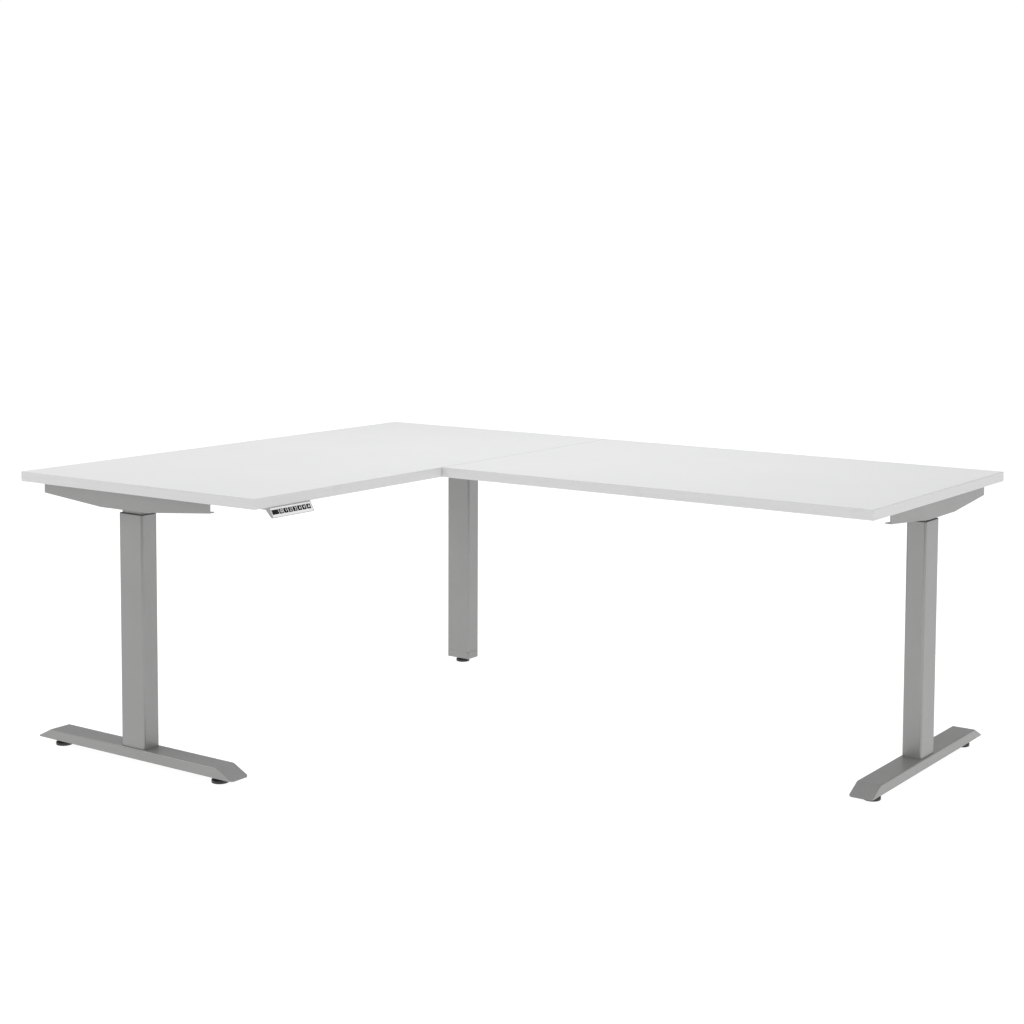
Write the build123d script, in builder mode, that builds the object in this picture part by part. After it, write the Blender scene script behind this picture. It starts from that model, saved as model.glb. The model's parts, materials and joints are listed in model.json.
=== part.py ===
"""L-shaped electric height-adjustable desk, at its lowest height.

Frame: +X runs along the right wing to the right, +Y to the back, +Z up. The origin is on the
floor, at the centre of the desk's bounding box.

Each lifting column has a place: a plane on the floor under the column, whose x runs along the
column's wide side and whose y points inward, along the rails that the column carries.
"""

import os
from math import ceil, hypot, radians, tan

from build123d import *

os.makedirs("parts", exist_ok=True)

# ---------------------------------------------------------------- driving dimensions, mm
DESK_WIDTH = 2000.0  # overall, along X
DESK_DEPTH = 1500.0  # overall, along Y
WING_DEPTH = 800.0
DESK_HEIGHT = 700.0  # at the lowest position
TOP_THICKNESS = 25.0
EDGING_THICKNESS = 2.0
EDGING_RADIUS = 1.2
EDGING_CORNER = 1.8
SEAM_GAP = 0.4  # between the two boards
STROKE = 480.0

LEG_INSET = 57.0  # column axis to the wing's end edge
LEFT_LEG_SETBACK = 360.0  # column axis to the outer long edge
RIGHT_LEG_SETBACK = 386.0
CORNER_LEG_INSET = 118.0

OUTER_TUBE = (80.0, 50.0, 5.0, 2.0)  # length, width, corner radius, wall
INNER_TUBE = (70.0, 40.0, 4.0, 2.0)
OUTER_TUBE_TOP = 620.0
SLIDE_GAP = 0.3  # between plastic guides and the tube that slides past them
RUNNING_GAP = 0.05  # radial, between the spindle and its bores
FIT_GAP = 0.1  # between the sizes of two pieces, one set in the other
GUIDE_LENGTH = 40.0  # of the collar and of the bush, along the tubes
TRAVEL_SPARE = 5.0  # between the collar and the bush at full height

FOOT_LENGTH = 680.0
FOOT_WIDTH = 60.0
FOOT_BOTTOM = 17.5
FOOT_TOP = 43.0
FOOT_BEVEL = 52.0  # horizontal run of the sloping end
FOOT_SHEET = 3.0
FOOT_TIP_CUT = 7.0
FOOT_SHIFTS = {"left": -4.0, "right": 7.0}  # the foot's middle from the column, to the rear

GLIDE_FROM_TIP = 66.0
GLIDE_HEIGHT = 11.0
FOOT_GLIDE_RADIUS = 21.0
CORNER_GLIDE_RADIUS = 20.0
STUD_RADIUS = 4.0

BRACKET_LENGTH = 572.0
BRACKET_INSET = 8.0  # web to the wing's end edge
BRACKET_SHEET = 3.0
BRACKET_END_DEPTH = 23.0
BRACKET_DEPTH = 41.0  # over the column
BRACKET_KINK = 78.0  # half length of the deepest stretch
BRACKET_PLATE_REACH = 98.0  # plate over the column, from the wing's end edge
BRACKET_SHIFTS = {"left": 5.0, "right": -14.5}  # its middle from the column, to the front
ARM_FLANGE_WIDTH = 15.0
SIDE_EAR_WIDTH = 30.0
SIDE_EAR_SCREW = 22.0  # from the web's outer face, beyond the lower flange
CORNER_BRACKET_WIDTH = 92.0
CORNER_EAR_WIDTH = 26.0

RAIL_INNER = 56.0  # column axis to the open side of the rail
RAIL_WIDTH = 20.0
RAIL_SHEET = 2.0
RAIL_FROM_END = 12.0  # from the wing's end edge
RAIL_FROM_BACK = 60.0  # from the edge behind the corner column
RAIL_BUTT_GAP = 0.5  # between the rails of the two wings
RAIL_FIRST_SCREW = 160.0
RAIL_SCREW_GAP = 420.0  # longest spacing of the screws through the rails

SPINDLE_RADIUS = 7.0
SPINDLE_BOTTOM = 60.0
NUT_TUBE_RADIUS = 13.0
NUT_TUBE_BORE = 11.0
NUT_BOTTOM = 585.0
NUT_THICKNESS = 16.0
NUT_SPIGOT = 20.0
NUT_FLANGE = 2.0  # beyond the nut tube

GEARBOX_LENGTH = 76.0
GEARBOX_FRONT = -22.0  # along the place's y
GEARBOX_BACK = 28.0
MOTOR_RADIUS = 17.0
MOTOR_LENGTH = 120.0
MOTOR_HEIGHT = 655.0
MOTOR_NECK = (15.5, 4.0)  # radius, length
MOTOR_END_BOSS = (14.0, 6.0)

MOTOR_CABLE_RADIUS = 3.0
HANDSET_CABLE_RADIUS = 2.25
CABLE_HEIGHT = 662.0
CABLE_HOLE_RADIUS = 7.0

SCREW_RADIUS = 2.0
SCREW_LENGTH = 16.0  # in the board
SCREW_HEAD = (4.0, 2.0)  # radius, height
SCREW_HOLE_RADIUS = 2.5  # in the sheet under the head
BOLT_RADIUS = 3.0
FOOT_BOLT_RADIUS = 4.0
HOLE_GAP = 0.1
TAB_THICKNESS = 3.0  # of the tabs that the control box and the handset hang from

BOX_LENGTH = 250.0
BOX_WIDTH = 100.0
BOX_TOP = 672.0
BOX_BOTTOM = 640.0
BOX_START = -260.0  # its end towards the left leg, along Y
BOX_TAB_WIDTH = 84.0
BOX_TAB_REACH = 18.0

HANDSET_LENGTH = 143.0
HANDSET_FROM_END = 47.5  # from the left wing's end edge
HANDSET_FACE_TOP = (1.0, 673.0)  # beyond the board's edge, height
HANDSET_FACE_BOTTOM = (12.5, 651.7)
HANDSET_BACK_BOTTOM = (9.0, 650.2)
HANDSET_BACK_TOP = (-10.0, 669.0)
HANDSET_TAB_REACH = 60.0  # under the board, from its edge
BUTTON_COUNT = 7
BUTTON_PITCH = 15.8
BUTTON_WIDTH = 12.6
BUTTON_HEIGHT = 11.3
KEY_RISE = 1.2  # of the keys and the display, up the slope from its middle
BUTTON_PROUD = 1.2
BUTTON_TRAVEL = 0.8
BUTTON_GAP = 0.4
POCKET_DEPTH = 3.0
DISPLAY_LENGTH = 22.0
DISPLAY_PROUD = 0.3

# ---------------------------------------------------------------- derived places
LEFT = -DESK_WIDTH / 2
RIGHT = DESK_WIDTH / 2
BACK = DESK_DEPTH / 2
FRONT = -DESK_DEPTH / 2
SEAM = LEFT + WING_DEPTH
UNDERSIDE = DESK_HEIGHT - TOP_THICKNESS
PLATE_BOTTOM = UNDERSIDE - BRACKET_DEPTH
PLATE_TOP = PLATE_BOTTOM + BRACKET_SHEET
RAIL_OUTER = RAIL_INNER + RAIL_WIDTH
RAIL_CENTRE = RAIL_INNER + RAIL_WIDTH / 2

LEFT_COLUMN_X = LEFT + LEFT_LEG_SETBACK
RIGHT_COLUMN_Y = BACK - RIGHT_LEG_SETBACK
PLACES = {
    "left": Plane(origin=(LEFT_COLUMN_X, FRONT + LEG_INSET, 0), x_dir=(1, 0, 0), z_dir=(0, 0, 1)),
    "right": Plane(
        origin=(RIGHT - LEG_INSET, RIGHT_COLUMN_Y, 0), x_dir=(0, 1, 0), z_dir=(0, 0, 1)
    ),
    "corner": Plane(
        origin=(LEFT_COLUMN_X, BACK - CORNER_LEG_INSET, 0), x_dir=(-1, 0, 0), z_dir=(0, 0, 1)
    ),
}


def save(piece, name):
    """Label one finished piece and write it to its own STEP file."""
    piece.part.label = name
    export_step(piece.part, f"parts/{name}.step")


def side_plane(place, y):
    """Upright plane across the place at y: its x is the place's x, its y is up."""
    return Plane(
        origin=place.from_local_coords((0, y, 0)), x_dir=place.x_dir, z_dir=-place.y_dir
    )


def box_between(low, high, place=Plane.XY, mode=Mode.ADD):
    """A box in the place's frame, given by two opposite corners."""
    with BuildSketch(place.offset(low[2])) as base:
        with Locations(((low[0] + high[0]) / 2, (low[1] + high[1]) / 2)):
            Rectangle(high[0] - low[0], high[1] - low[1])
    extrude(base.sketch, amount=high[2] - low[2], mode=mode)


def disc(points, radius, bottom, top, place=Plane.XY, mode=Mode.ADD):
    """Upright cylinders at the given points of the place."""
    with BuildSketch(place.offset(bottom)) as base:
        with Locations(*points):
            Circle(radius)
    extrude(base.sketch, amount=top - bottom, mode=mode)


def mirrored(xs, ys):
    """Every combination of the given coordinates."""
    return [(x, y) for x in xs for y in ys]


# ---------------------------------------------------------------- worktop
EAR_SCREWS = (240.0, 272.0)  # along a side bracket, from its middle
EAR_START = 226.0
EAR_SCREW_Y = -LEG_INSET + BRACKET_INSET + SIDE_EAR_SCREW
CORNER_EAR_SCREWS = mirrored((-92.0, 92.0), (-32.0, 32.0))
SEAM_PLATE = (120.0, 60.0, 3.0)
SEAM_PLATE_CORNER = 4.0
SEAM_PLATE_YS = (BACK - 110.0, BACK - 690.0)
SEAM_SCREWS = mirrored((-45.0, -18.0, 18.0, 45.0), (-18.0, 18.0))
HANDSET_X = SEAM
HANDSET_START = FRONT + HANDSET_FROM_END
HANDSET_CENTRE = HANDSET_START + HANDSET_LENGTH / 2
HANDSET_SCREWS = mirrored([HANDSET_X - 45.0], (HANDSET_CENTRE - 40.0, HANDSET_CENTRE + 40.0))
BOX_END = BOX_START + BOX_LENGTH
BOX_SCREWS = mirrored(
    (LEFT_COLUMN_X - 30.0, LEFT_COLUMN_X + 30.0),
    (BOX_START - BOX_TAB_REACH / 2, BOX_END + BOX_TAB_REACH / 2),
)


def to_world(place, points):
    """Points of a place as world (x, y)."""
    spots = [place.from_local_coords((x, y, 0)) for x, y in points]
    return [(spot.X, spot.Y) for spot in spots]


def rail_screw_points(name, length):
    """Screws that go up through a pair of rails into the board."""
    screwed_length = length - 2 * RAIL_FIRST_SCREW
    gaps = ceil(screwed_length / RAIL_SCREW_GAP)
    steps = [RAIL_START + RAIL_FIRST_SCREW + gap * screwed_length / gaps for gap in range(gaps + 1)]
    return to_world(PLACES[name], mirrored((-RAIL_CENTRE, RAIL_CENTRE), steps))


def ear_points(side):
    """Screws through the ears of one side bracket, in its place."""
    middle = BRACKET_SHIFTS[side]
    return mirrored([middle + end * along for end in (-1, 1) for along in EAR_SCREWS], [EAR_SCREW_Y])


RAIL_START = -LEG_INSET + RAIL_FROM_END  # along the place's y
LEFT_WEB = LEFT_COLUMN_X + RAIL_OUTER  # the face that the right rails butt against
LEFT_RAIL_LENGTH = DESK_DEPTH - RAIL_FROM_END - RAIL_FROM_BACK
RIGHT_RAIL_LENGTH = RIGHT - RAIL_FROM_END - LEFT_WEB - RAIL_BUTT_GAP
LEFT_RAIL_SCREWS = rail_screw_points("left", LEFT_RAIL_LENGTH)
RIGHT_RAIL_SCREWS = rail_screw_points("right", RIGHT_RAIL_LENGTH)

LEFT_EAR_SCREWS = to_world(PLACES["left"], ear_points("left"))
RIGHT_EAR_SCREWS = to_world(PLACES["right"], ear_points("right"))
CORNER_SCREWS = to_world(PLACES["corner"], CORNER_EAR_SCREWS)
SEAM_POINTS = [(SEAM + x, y + plate) for plate in SEAM_PLATE_YS for x, y in SEAM_SCREWS]
TOP_SCREWS = {  # points and the height of the face that the head sits on
    "ears": (LEFT_EAR_SCREWS + RIGHT_EAR_SCREWS + CORNER_SCREWS, UNDERSIDE - BRACKET_SHEET),
    "rails": (LEFT_RAIL_SCREWS + RIGHT_RAIL_SCREWS, UNDERSIDE - RAIL_SHEET),
    "seam": (SEAM_POINTS, UNDERSIDE - SEAM_PLATE[2]),
    "tabs": (BOX_SCREWS + HANDSET_SCREWS, UNDERSIDE - TAB_THICKNESS),
}
ALL_SCREW_POINTS = [point for points, _ in TOP_SCREWS.values() for point in points]
PILOT_DEPTH = SCREW_LENGTH + 1.0


def on_board(low_x, high_x, low_y, high_y):
    """The screw points that lie under one board."""
    return [
        (x, y) for x, y in ALL_SCREW_POINTS if low_x < x < high_x and low_y < y < high_y
    ]


def make_board(name, low_x, high_x, low_y, high_y):
    """Chipboard core, with a pilot hole for each screw."""
    with BuildPart() as board:
        box_between(
            (low_x + EDGING_THICKNESS, low_y + EDGING_THICKNESS, UNDERSIDE),
            (high_x - EDGING_THICKNESS, high_y - EDGING_THICKNESS, DESK_HEIGHT),
        )
        pilots = on_board(low_x, high_x, low_y, high_y)
        radius = SCREW_RADIUS + HOLE_GAP
        disc(pilots, radius, UNDERSIDE, UNDERSIDE + PILOT_DEPTH, mode=Mode.SUBTRACT)
    save(board, name)


BOARDS = {
    "left_top_board": (LEFT, SEAM, FRONT, BACK),
    "right_top_board": (SEAM + SEAM_GAP, RIGHT, BACK - WING_DEPTH, BACK),
}
for board_name, extent in BOARDS.items():
    make_board(board_name, *extent)

with BuildPart() as edging:
    for low_x, high_x, low_y, high_y in BOARDS.values():
        with BuildSketch(Plane.XY.offset(UNDERSIDE)):
            with Locations(((low_x + high_x) / 2, (low_y + high_y) / 2)):
                RectangleRounded(high_x - low_x, high_y - low_y, EDGING_CORNER)
        extrude(amount=TOP_THICKNESS)
    rims = edging.edges().group_by(Axis.Z)
    fillet(rims[0] + rims[-1], radius=EDGING_RADIUS)
    for low_x, high_x, low_y, high_y in BOARDS.values():
        box_between(
            (low_x + EDGING_THICKNESS, low_y + EDGING_THICKNESS, UNDERSIDE),
            (high_x - EDGING_THICKNESS, high_y - EDGING_THICKNESS, DESK_HEIGHT),
            mode=Mode.SUBTRACT,
        )
save(edging, "top_edging")

with BuildPart() as seam_plates:
    length, width, thickness = SEAM_PLATE
    for plate_y in SEAM_PLATE_YS:
        with BuildSketch(Plane.XY.offset(UNDERSIDE - thickness)):
            with Locations((SEAM, plate_y)):
                RectangleRounded(length, width, SEAM_PLATE_CORNER)
            with Locations(*[(SEAM + x, plate_y + y) for x, y in SEAM_SCREWS]):
                Circle(SCREW_HOLE_RADIUS, mode=Mode.SUBTRACT)
        extrude(amount=thickness)
save(seam_plates, "seam_plates")


# ---------------------------------------------------------------- columns
PLATE_THICKNESS = 8.0  # welded into the foot of the outer tube
HEAD_THICKNESS = 6.0  # welded into the head of the inner tube
INNER_TUBE_BOTTOM = OUTER_TUBE_TOP - 2 * GUIDE_LENGTH - STROKE - TRAVEL_SPARE
COLLAR_FLANGE = 1.5
FOOT_BOLT_POINTS = mirrored((-27.0, 27.0), (-13.0, 13.0))
HEAD_BOLT_POINTS = mirrored((-27.0, 27.0), (-13.0, 13.0))
SPINDLE_HOLE_RADIUS = 10.0
CAP_BOTTOM = 14.0
CAP_TOP = 35.0


def tube(place, size, bottom, top):
    """Rectangular tube with rounded corners."""
    length, width, radius, wall = size
    with BuildSketch(place.offset(bottom)) as section:
        RectangleRounded(length, width, radius)
        RectangleRounded(length - 2 * wall, width - 2 * wall, radius - wall, mode=Mode.SUBTRACT)
    extrude(section.sketch, amount=top - bottom)


def make_outer_tube(side, place, bottom):
    """Outer tube on the floor side, with a welded base plate."""
    length, width, radius, wall = OUTER_TUBE
    with BuildPart() as outer:
        tube(place, OUTER_TUBE, bottom, OUTER_TUBE_TOP)
        with BuildSketch(place.offset(FOOT_TOP)):
            RectangleRounded(length - wall, width - wall, radius - wall / 2)
        extrude(amount=PLATE_THICKNESS)
        if side != "corner":
            disc(
                FOOT_BOLT_POINTS,
                FOOT_BOLT_RADIUS + HOLE_GAP,
                FOOT_TOP,
                FOOT_TOP + PLATE_THICKNESS,
                place,
                Mode.SUBTRACT,
            )
    save(outer, f"{side}_outer_tube")


def make_inner_tube(side, place):
    """Inner tube that slides up, closed by a head plate that the spindle passes through."""
    length, width, radius, wall = INNER_TUBE
    with BuildPart() as inner:
        tube(place, INNER_TUBE, INNER_TUBE_BOTTOM, PLATE_BOTTOM)
        with BuildSketch(place.offset(PLATE_BOTTOM - HEAD_THICKNESS)):
            RectangleRounded(length - wall, width - wall, radius - wall / 2)
            Circle(SPINDLE_HOLE_RADIUS, mode=Mode.SUBTRACT)
            with Locations(*HEAD_BOLT_POINTS):
                Circle(BOLT_RADIUS + HOLE_GAP, mode=Mode.SUBTRACT)
        extrude(amount=HEAD_THICKNESS)
    save(inner, f"{side}_inner_tube")


def make_guide_collar(side, place):
    """Plastic collar in the mouth of the outer tube, with a thin flange on its rim."""
    length, width, radius, wall = OUTER_TUBE
    inner_length, inner_width, inner_radius, _ = INNER_TUBE
    with BuildPart() as collar:
        with BuildSketch(place.offset(OUTER_TUBE_TOP - GUIDE_LENGTH)):
            RectangleRounded(length - 2 * wall - FIT_GAP, width - 2 * wall - FIT_GAP, radius - wall)
        extrude(amount=GUIDE_LENGTH)
        with BuildSketch(place.offset(OUTER_TUBE_TOP)):
            RectangleRounded(length - wall / 2, width - wall / 2, radius)
        extrude(amount=COLLAR_FLANGE)
        with BuildSketch(place.offset(OUTER_TUBE_TOP - GUIDE_LENGTH)):
            RectangleRounded(
                inner_length + 2 * SLIDE_GAP, inner_width + 2 * SLIDE_GAP, inner_radius + SLIDE_GAP
            )
        extrude(amount=GUIDE_LENGTH + COLLAR_FLANGE, mode=Mode.SUBTRACT)
    save(collar, f"{side}_guide_collar")


def make_nut_tube(side, place):
    """Steel tube that stands on the base plate and carries the spindle nut."""
    with BuildPart() as nut_tube:
        with BuildSketch(place.offset(FOOT_TOP + PLATE_THICKNESS)):
            Circle(NUT_TUBE_RADIUS)
            Circle(NUT_TUBE_BORE, mode=Mode.SUBTRACT)
        extrude(amount=NUT_BOTTOM - FOOT_TOP - PLATE_THICKNESS)
    save(nut_tube, f"{side}_nut_tube")


def make_spindle_nut(side, place):
    """Flanged nut with a spigot that sits in the nut tube; the thread is a plain bore."""
    bottom = NUT_BOTTOM - NUT_SPIGOT
    top = NUT_BOTTOM + NUT_THICKNESS
    with BuildPart() as nut:
        disc([(0, 0)], NUT_TUBE_BORE - HOLE_GAP, bottom, NUT_BOTTOM, place)
        disc([(0, 0)], NUT_TUBE_RADIUS + NUT_FLANGE, NUT_BOTTOM, top, place)
        chamfer(nut.faces().sort_by(Axis.Z)[-1].edges(), length=NUT_FLANGE * 0.75)
        disc([(0, 0)], SPINDLE_RADIUS + RUNNING_GAP, bottom, top, place, Mode.SUBTRACT)
    save(nut, f"{side}_spindle_nut")


WHEEL_BOTTOM = 645.0
WHEEL_TOP = 661.0
WHEEL_RADIUS = 17.0
WHEEL_SPACE = 2.0  # round the wheel
GEARBOX_BOTTOM = PLATE_TOP
GEARBOX_TOP = 673.0
GEARBOX_WALL = 4.0
GEARBOX_CORNER = 4.0
JOURNAL_RADIUS = 5.0
JOURNAL_TOP = GEARBOX_TOP - GEARBOX_WALL / 2
CAP_HEAD = (5.0, 4.0)  # radius, height of the heads sunk in the gearbox
CAP_RECESS = (5.4, 5.0)


def make_spindle(side, place):
    """Lifting spindle with its drive wheel and top journal."""
    with BuildPart() as spindle:
        disc([(0, 0)], SPINDLE_RADIUS, SPINDLE_BOTTOM, WHEEL_BOTTOM, place)
        disc([(0, 0)], WHEEL_RADIUS, WHEEL_BOTTOM, WHEEL_TOP, place)
        disc([(0, 0)], JOURNAL_RADIUS, WHEEL_TOP, JOURNAL_TOP, place)
        chamfer(spindle.faces().sort_by(Axis.Z)[0].edges(), length=2.0)
    save(spindle, f"{side}_spindle")


for side_name, side_place in PLACES.items():
    tube_bottom = CAP_TOP if side_name == "corner" else FOOT_TOP
    make_outer_tube(side_name, side_place, tube_bottom)
    make_inner_tube(side_name, side_place)
    make_guide_collar(side_name, side_place)
    make_nut_tube(side_name, side_place)
    make_spindle_nut(side_name, side_place)
    make_spindle(side_name, side_place)

with BuildPart() as bushes:
    for side_place in PLACES.values():
        length, width, radius, wall = OUTER_TUBE
        inner_length, inner_width, inner_radius, _ = INNER_TUBE
        with BuildSketch(side_place.offset(INNER_TUBE_BOTTOM)):
            RectangleRounded(
                length - 2 * wall - 2 * SLIDE_GAP,
                width - 2 * wall - 2 * SLIDE_GAP,
                radius - wall,
            )
            RectangleRounded(
                inner_length + FIT_GAP, inner_width + FIT_GAP, inner_radius, mode=Mode.SUBTRACT
            )
        extrude(amount=GUIDE_LENGTH)
save(bushes, "inner_tube_bushes")

with BuildPart() as gearboxes:
    for side_place in PLACES.values():
        box_between(
            (-GEARBOX_LENGTH / 2, GEARBOX_FRONT, GEARBOX_BOTTOM),
            (GEARBOX_LENGTH / 2, GEARBOX_BACK, GEARBOX_TOP),
            side_place,
        )
    fillet(gearboxes.edges().filter_by(Axis.Z), radius=GEARBOX_CORNER)
    cavity_top = GEARBOX_TOP - GEARBOX_WALL
    cavity_bottom = GEARBOX_BOTTOM + GEARBOX_WALL
    recess_radius, recess_depth = CAP_RECESS
    hollows = (
        ([(0, 0)], WHEEL_RADIUS + WHEEL_SPACE, cavity_bottom, cavity_top),
        ([(0, 0)], SPINDLE_RADIUS + RUNNING_GAP, GEARBOX_BOTTOM, cavity_bottom),
        ([(0, 0)], JOURNAL_RADIUS + RUNNING_GAP, cavity_top, JOURNAL_TOP),
        (HEAD_BOLT_POINTS, BOLT_RADIUS + HOLE_GAP, GEARBOX_BOTTOM, GEARBOX_TOP),
        (HEAD_BOLT_POINTS, recess_radius, GEARBOX_TOP - recess_depth, GEARBOX_TOP),
    )
    for side_place in PLACES.values():
        for points, radius, bottom, top in hollows:
            disc(points, radius, bottom, top, side_place, Mode.SUBTRACT)
save(gearboxes, "motor_gearboxes")

with BuildPart() as motors:
    neck_radius, neck_length = MOTOR_NECK
    boss_radius, boss_length = MOTOR_END_BOSS
    stretches = (
        (neck_radius, 0.0, neck_length),
        (MOTOR_RADIUS, neck_length, MOTOR_LENGTH - boss_length),
        (boss_radius, MOTOR_LENGTH - boss_length, MOTOR_LENGTH),
    )
    for side_place in PLACES.values():
        for radius, start, end in stretches:
            with BuildSketch(side_plane(side_place, GEARBOX_BACK + start)):
                with Locations((0, MOTOR_HEIGHT)):
                    Circle(radius)
            extrude(amount=start - end)
save(motors, "lift_motors")


# ---------------------------------------------------------------- feet and glides
SEAT_THICKNESS = 5.0
SEAT_HALF_LENGTH = 40.0
BOSS_RADIUS = 8.0
BOSS_BOTTOM = FOOT_BOTTOM + 1.0
FOOT_BEND = 2.5  # outer radius of the folds
FOOT_BOLT_HEAD = (7.0, 5.0)  # radius, height
HALF_FOOT = FOOT_LENGTH / 2
HALF_FOOT_WIDTH = FOOT_WIDTH / 2
GLIDE_OFFSET = HALF_FOOT - GLIDE_FROM_TIP
STUD_TOP = 36.0
CORNER_STUD_TOP = 32.0


def foot_profile(inset, run, top):
    """Side outline of the foot: inset from both tips, with a sloping end of the given run."""
    return [
        (-HALF_FOOT + inset, FOOT_BOTTOM),
        (HALF_FOOT - inset, FOOT_BOTTOM),
        (HALF_FOOT - run, top),
        (-HALF_FOOT + run, top),
    ]


def make_foot(side, place):
    """Folded steel foot, open below, with sloping ends and welded bosses for the glides."""
    middle = FOOT_SHIFTS[side]
    foot_place = Plane(
        origin=place.from_local_coords((middle, 0, 0)), x_dir=place.x_dir, z_dir=place.z_dir
    )
    inner_top = FOOT_TOP - FOOT_SHEET
    weld_top = FOOT_TOP - FOOT_SHEET / 2
    seat = inner_top - SEAT_THICKNESS
    glide_spots = [(-GLIDE_OFFSET, 0), (GLIDE_OFFSET, 0)]
    with BuildPart() as foot:
        with BuildSketch(side_plane(foot_place, -HALF_FOOT_WIDTH)):
            Polygon(*foot_profile(0.0, FOOT_BEVEL, FOOT_TOP), align=None)
        extrude(amount=-FOOT_WIDTH)
        with BuildSketch(foot_place.offset(FOOT_BOTTOM)):
            for end, flank in mirrored((-1, 1), (-1, 1)):
                Polygon(
                    (end * HALF_FOOT, flank * HALF_FOOT_WIDTH),
                    (end * (HALF_FOOT - FOOT_TIP_CUT), flank * HALF_FOOT_WIDTH),
                    (end * HALF_FOOT, flank * (HALF_FOOT_WIDTH - FOOT_TIP_CUT)),
                    align=None,
                )
        extrude(amount=FOOT_TOP - FOOT_BOTTOM, mode=Mode.SUBTRACT)
        fillet(foot.faces().sort_by(Axis.Z)[-1].edges(), radius=FOOT_BEND)
        with BuildSketch(side_plane(foot_place, -HALF_FOOT_WIDTH + FOOT_SHEET)):
            Polygon(
                *foot_profile(3 * FOOT_SHEET, FOOT_BEVEL + FOOT_SHEET / 2, inner_top), align=None
            )
        extrude(amount=-(FOOT_WIDTH - 2 * FOOT_SHEET), mode=Mode.SUBTRACT)
        disc(glide_spots, BOSS_RADIUS, BOSS_BOTTOM, weld_top, foot_place)
        box_between(
            (-SEAT_HALF_LENGTH, -HALF_FOOT_WIDTH + FOOT_SHEET / 2, seat),
            (SEAT_HALF_LENGTH, HALF_FOOT_WIDTH - FOOT_SHEET / 2, weld_top),
            place,
        )
        stud_hole = STUD_RADIUS + HOLE_GAP
        disc(glide_spots, stud_hole, BOSS_BOTTOM, inner_top, foot_place, Mode.SUBTRACT)
        bolt_hole = FOOT_BOLT_RADIUS + HOLE_GAP
        disc(FOOT_BOLT_POINTS, bolt_hole, seat, FOOT_TOP, place, Mode.SUBTRACT)
    save(foot, f"{side}_foot")


def make_foot_bolts(side, place):
    """Hex bolts that clamp the column to the foot, from below."""
    head_radius, head_height = FOOT_BOLT_HEAD
    seat = FOOT_TOP - FOOT_SHEET - SEAT_THICKNESS
    with BuildPart() as bolts:
        disc(FOOT_BOLT_POINTS, FOOT_BOLT_RADIUS, seat, FOOT_TOP + PLATE_THICKNESS - 1.0, place)
        with BuildSketch(place.offset(seat - head_height)):
            with Locations(*FOOT_BOLT_POINTS):
                RegularPolygon(radius=head_radius, side_count=6)
        extrude(amount=head_height)
    save(bolts, f"{side}_foot_bolts")


def make_glide(name, place, x, radius, stud_top):
    """Round levelling glide on a threaded stud."""
    with BuildPart() as glide:
        disc([(x, 0)], radius, 0, GLIDE_HEIGHT, place)
        chamfer(glide.faces().sort_by(Axis.Z)[-1].edges(), length=4.0, length2=5.0)
        fillet(glide.faces().sort_by(Axis.Z)[0].edges(), radius=1.5)
        disc([(x, 0)], STUD_RADIUS, GLIDE_HEIGHT, stud_top, place)
    save(glide, name)


for side_name, foot_middle in FOOT_SHIFTS.items():
    side_place = PLACES[side_name]
    make_foot(side_name, side_place)
    make_foot_bolts(side_name, side_place)
    to_rear = GLIDE_OFFSET if foot_middle > 0 else -GLIDE_OFFSET
    for end_name, offset in (("rear", to_rear), ("front", -to_rear)):
        glide_name = f"{side_name}_{end_name}_glide"
        make_glide(glide_name, side_place, foot_middle + offset, FOOT_GLIDE_RADIUS, STUD_TOP)
make_glide("corner_glide", PLACES["corner"], 0.0, CORNER_GLIDE_RADIUS, CORNER_STUD_TOP)

with BuildPart() as end_cap:
    corner_place = PLACES["corner"]
    length, width, radius, wall = OUTER_TUBE
    with BuildSketch(corner_place.offset(CAP_BOTTOM)):
        RectangleRounded(length, width, radius)
    extrude(amount=CAP_TOP - CAP_BOTTOM)
    with BuildSketch(corner_place.offset(CAP_TOP)):
        RectangleRounded(length - 2 * wall - FIT_GAP, width - 2 * wall - FIT_GAP, radius - wall)
    extrude(amount=FOOT_TOP - CAP_TOP)
    disc([(0, 0)], STUD_RADIUS + HOLE_GAP, CAP_BOTTOM, CAP_TOP, corner_place, Mode.SUBTRACT)
save(end_cap, "corner_end_cap")


# ---------------------------------------------------------------- brackets and rails
WEB_Y = -LEG_INSET + BRACKET_INSET  # outer face of the web
ARM_END_BOTTOM = UNDERSIDE - BRACKET_END_DEPTH
HALF_BRACKET = BRACKET_LENGTH / 2
RAIL_BOLT_POINTS = mirrored((-RAIL_CENTRE, RAIL_CENTRE), (-25.0, 25.0))
ACCESS_RADIUS = 6.0
PLATE_REACH = BRACKET_PLATE_REACH - LEG_INSET


def underside_outline(middle, rise):
    """Lower edge of a side bracket, raised by rise, from one end to the other."""
    return [
        (middle - HALF_BRACKET, ARM_END_BOTTOM + rise),
        (-BRACKET_KINK, PLATE_BOTTOM + rise),
        (BRACKET_KINK, PLATE_BOTTOM + rise),
        (middle + HALF_BRACKET, ARM_END_BOTTOM + rise),
    ]


def column_holes(place, bottom, top):
    """Holes over a column: the spindle, the head bolts and the rail bolts."""
    disc([(0, 0)], SPINDLE_HOLE_RADIUS, bottom, top, place, Mode.SUBTRACT)
    disc(HEAD_BOLT_POINTS, BOLT_RADIUS + HOLE_GAP, bottom, top, place, Mode.SUBTRACT)
    disc(RAIL_BOLT_POINTS, BOLT_RADIUS + HOLE_GAP, bottom, top, place, Mode.SUBTRACT)


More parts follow.
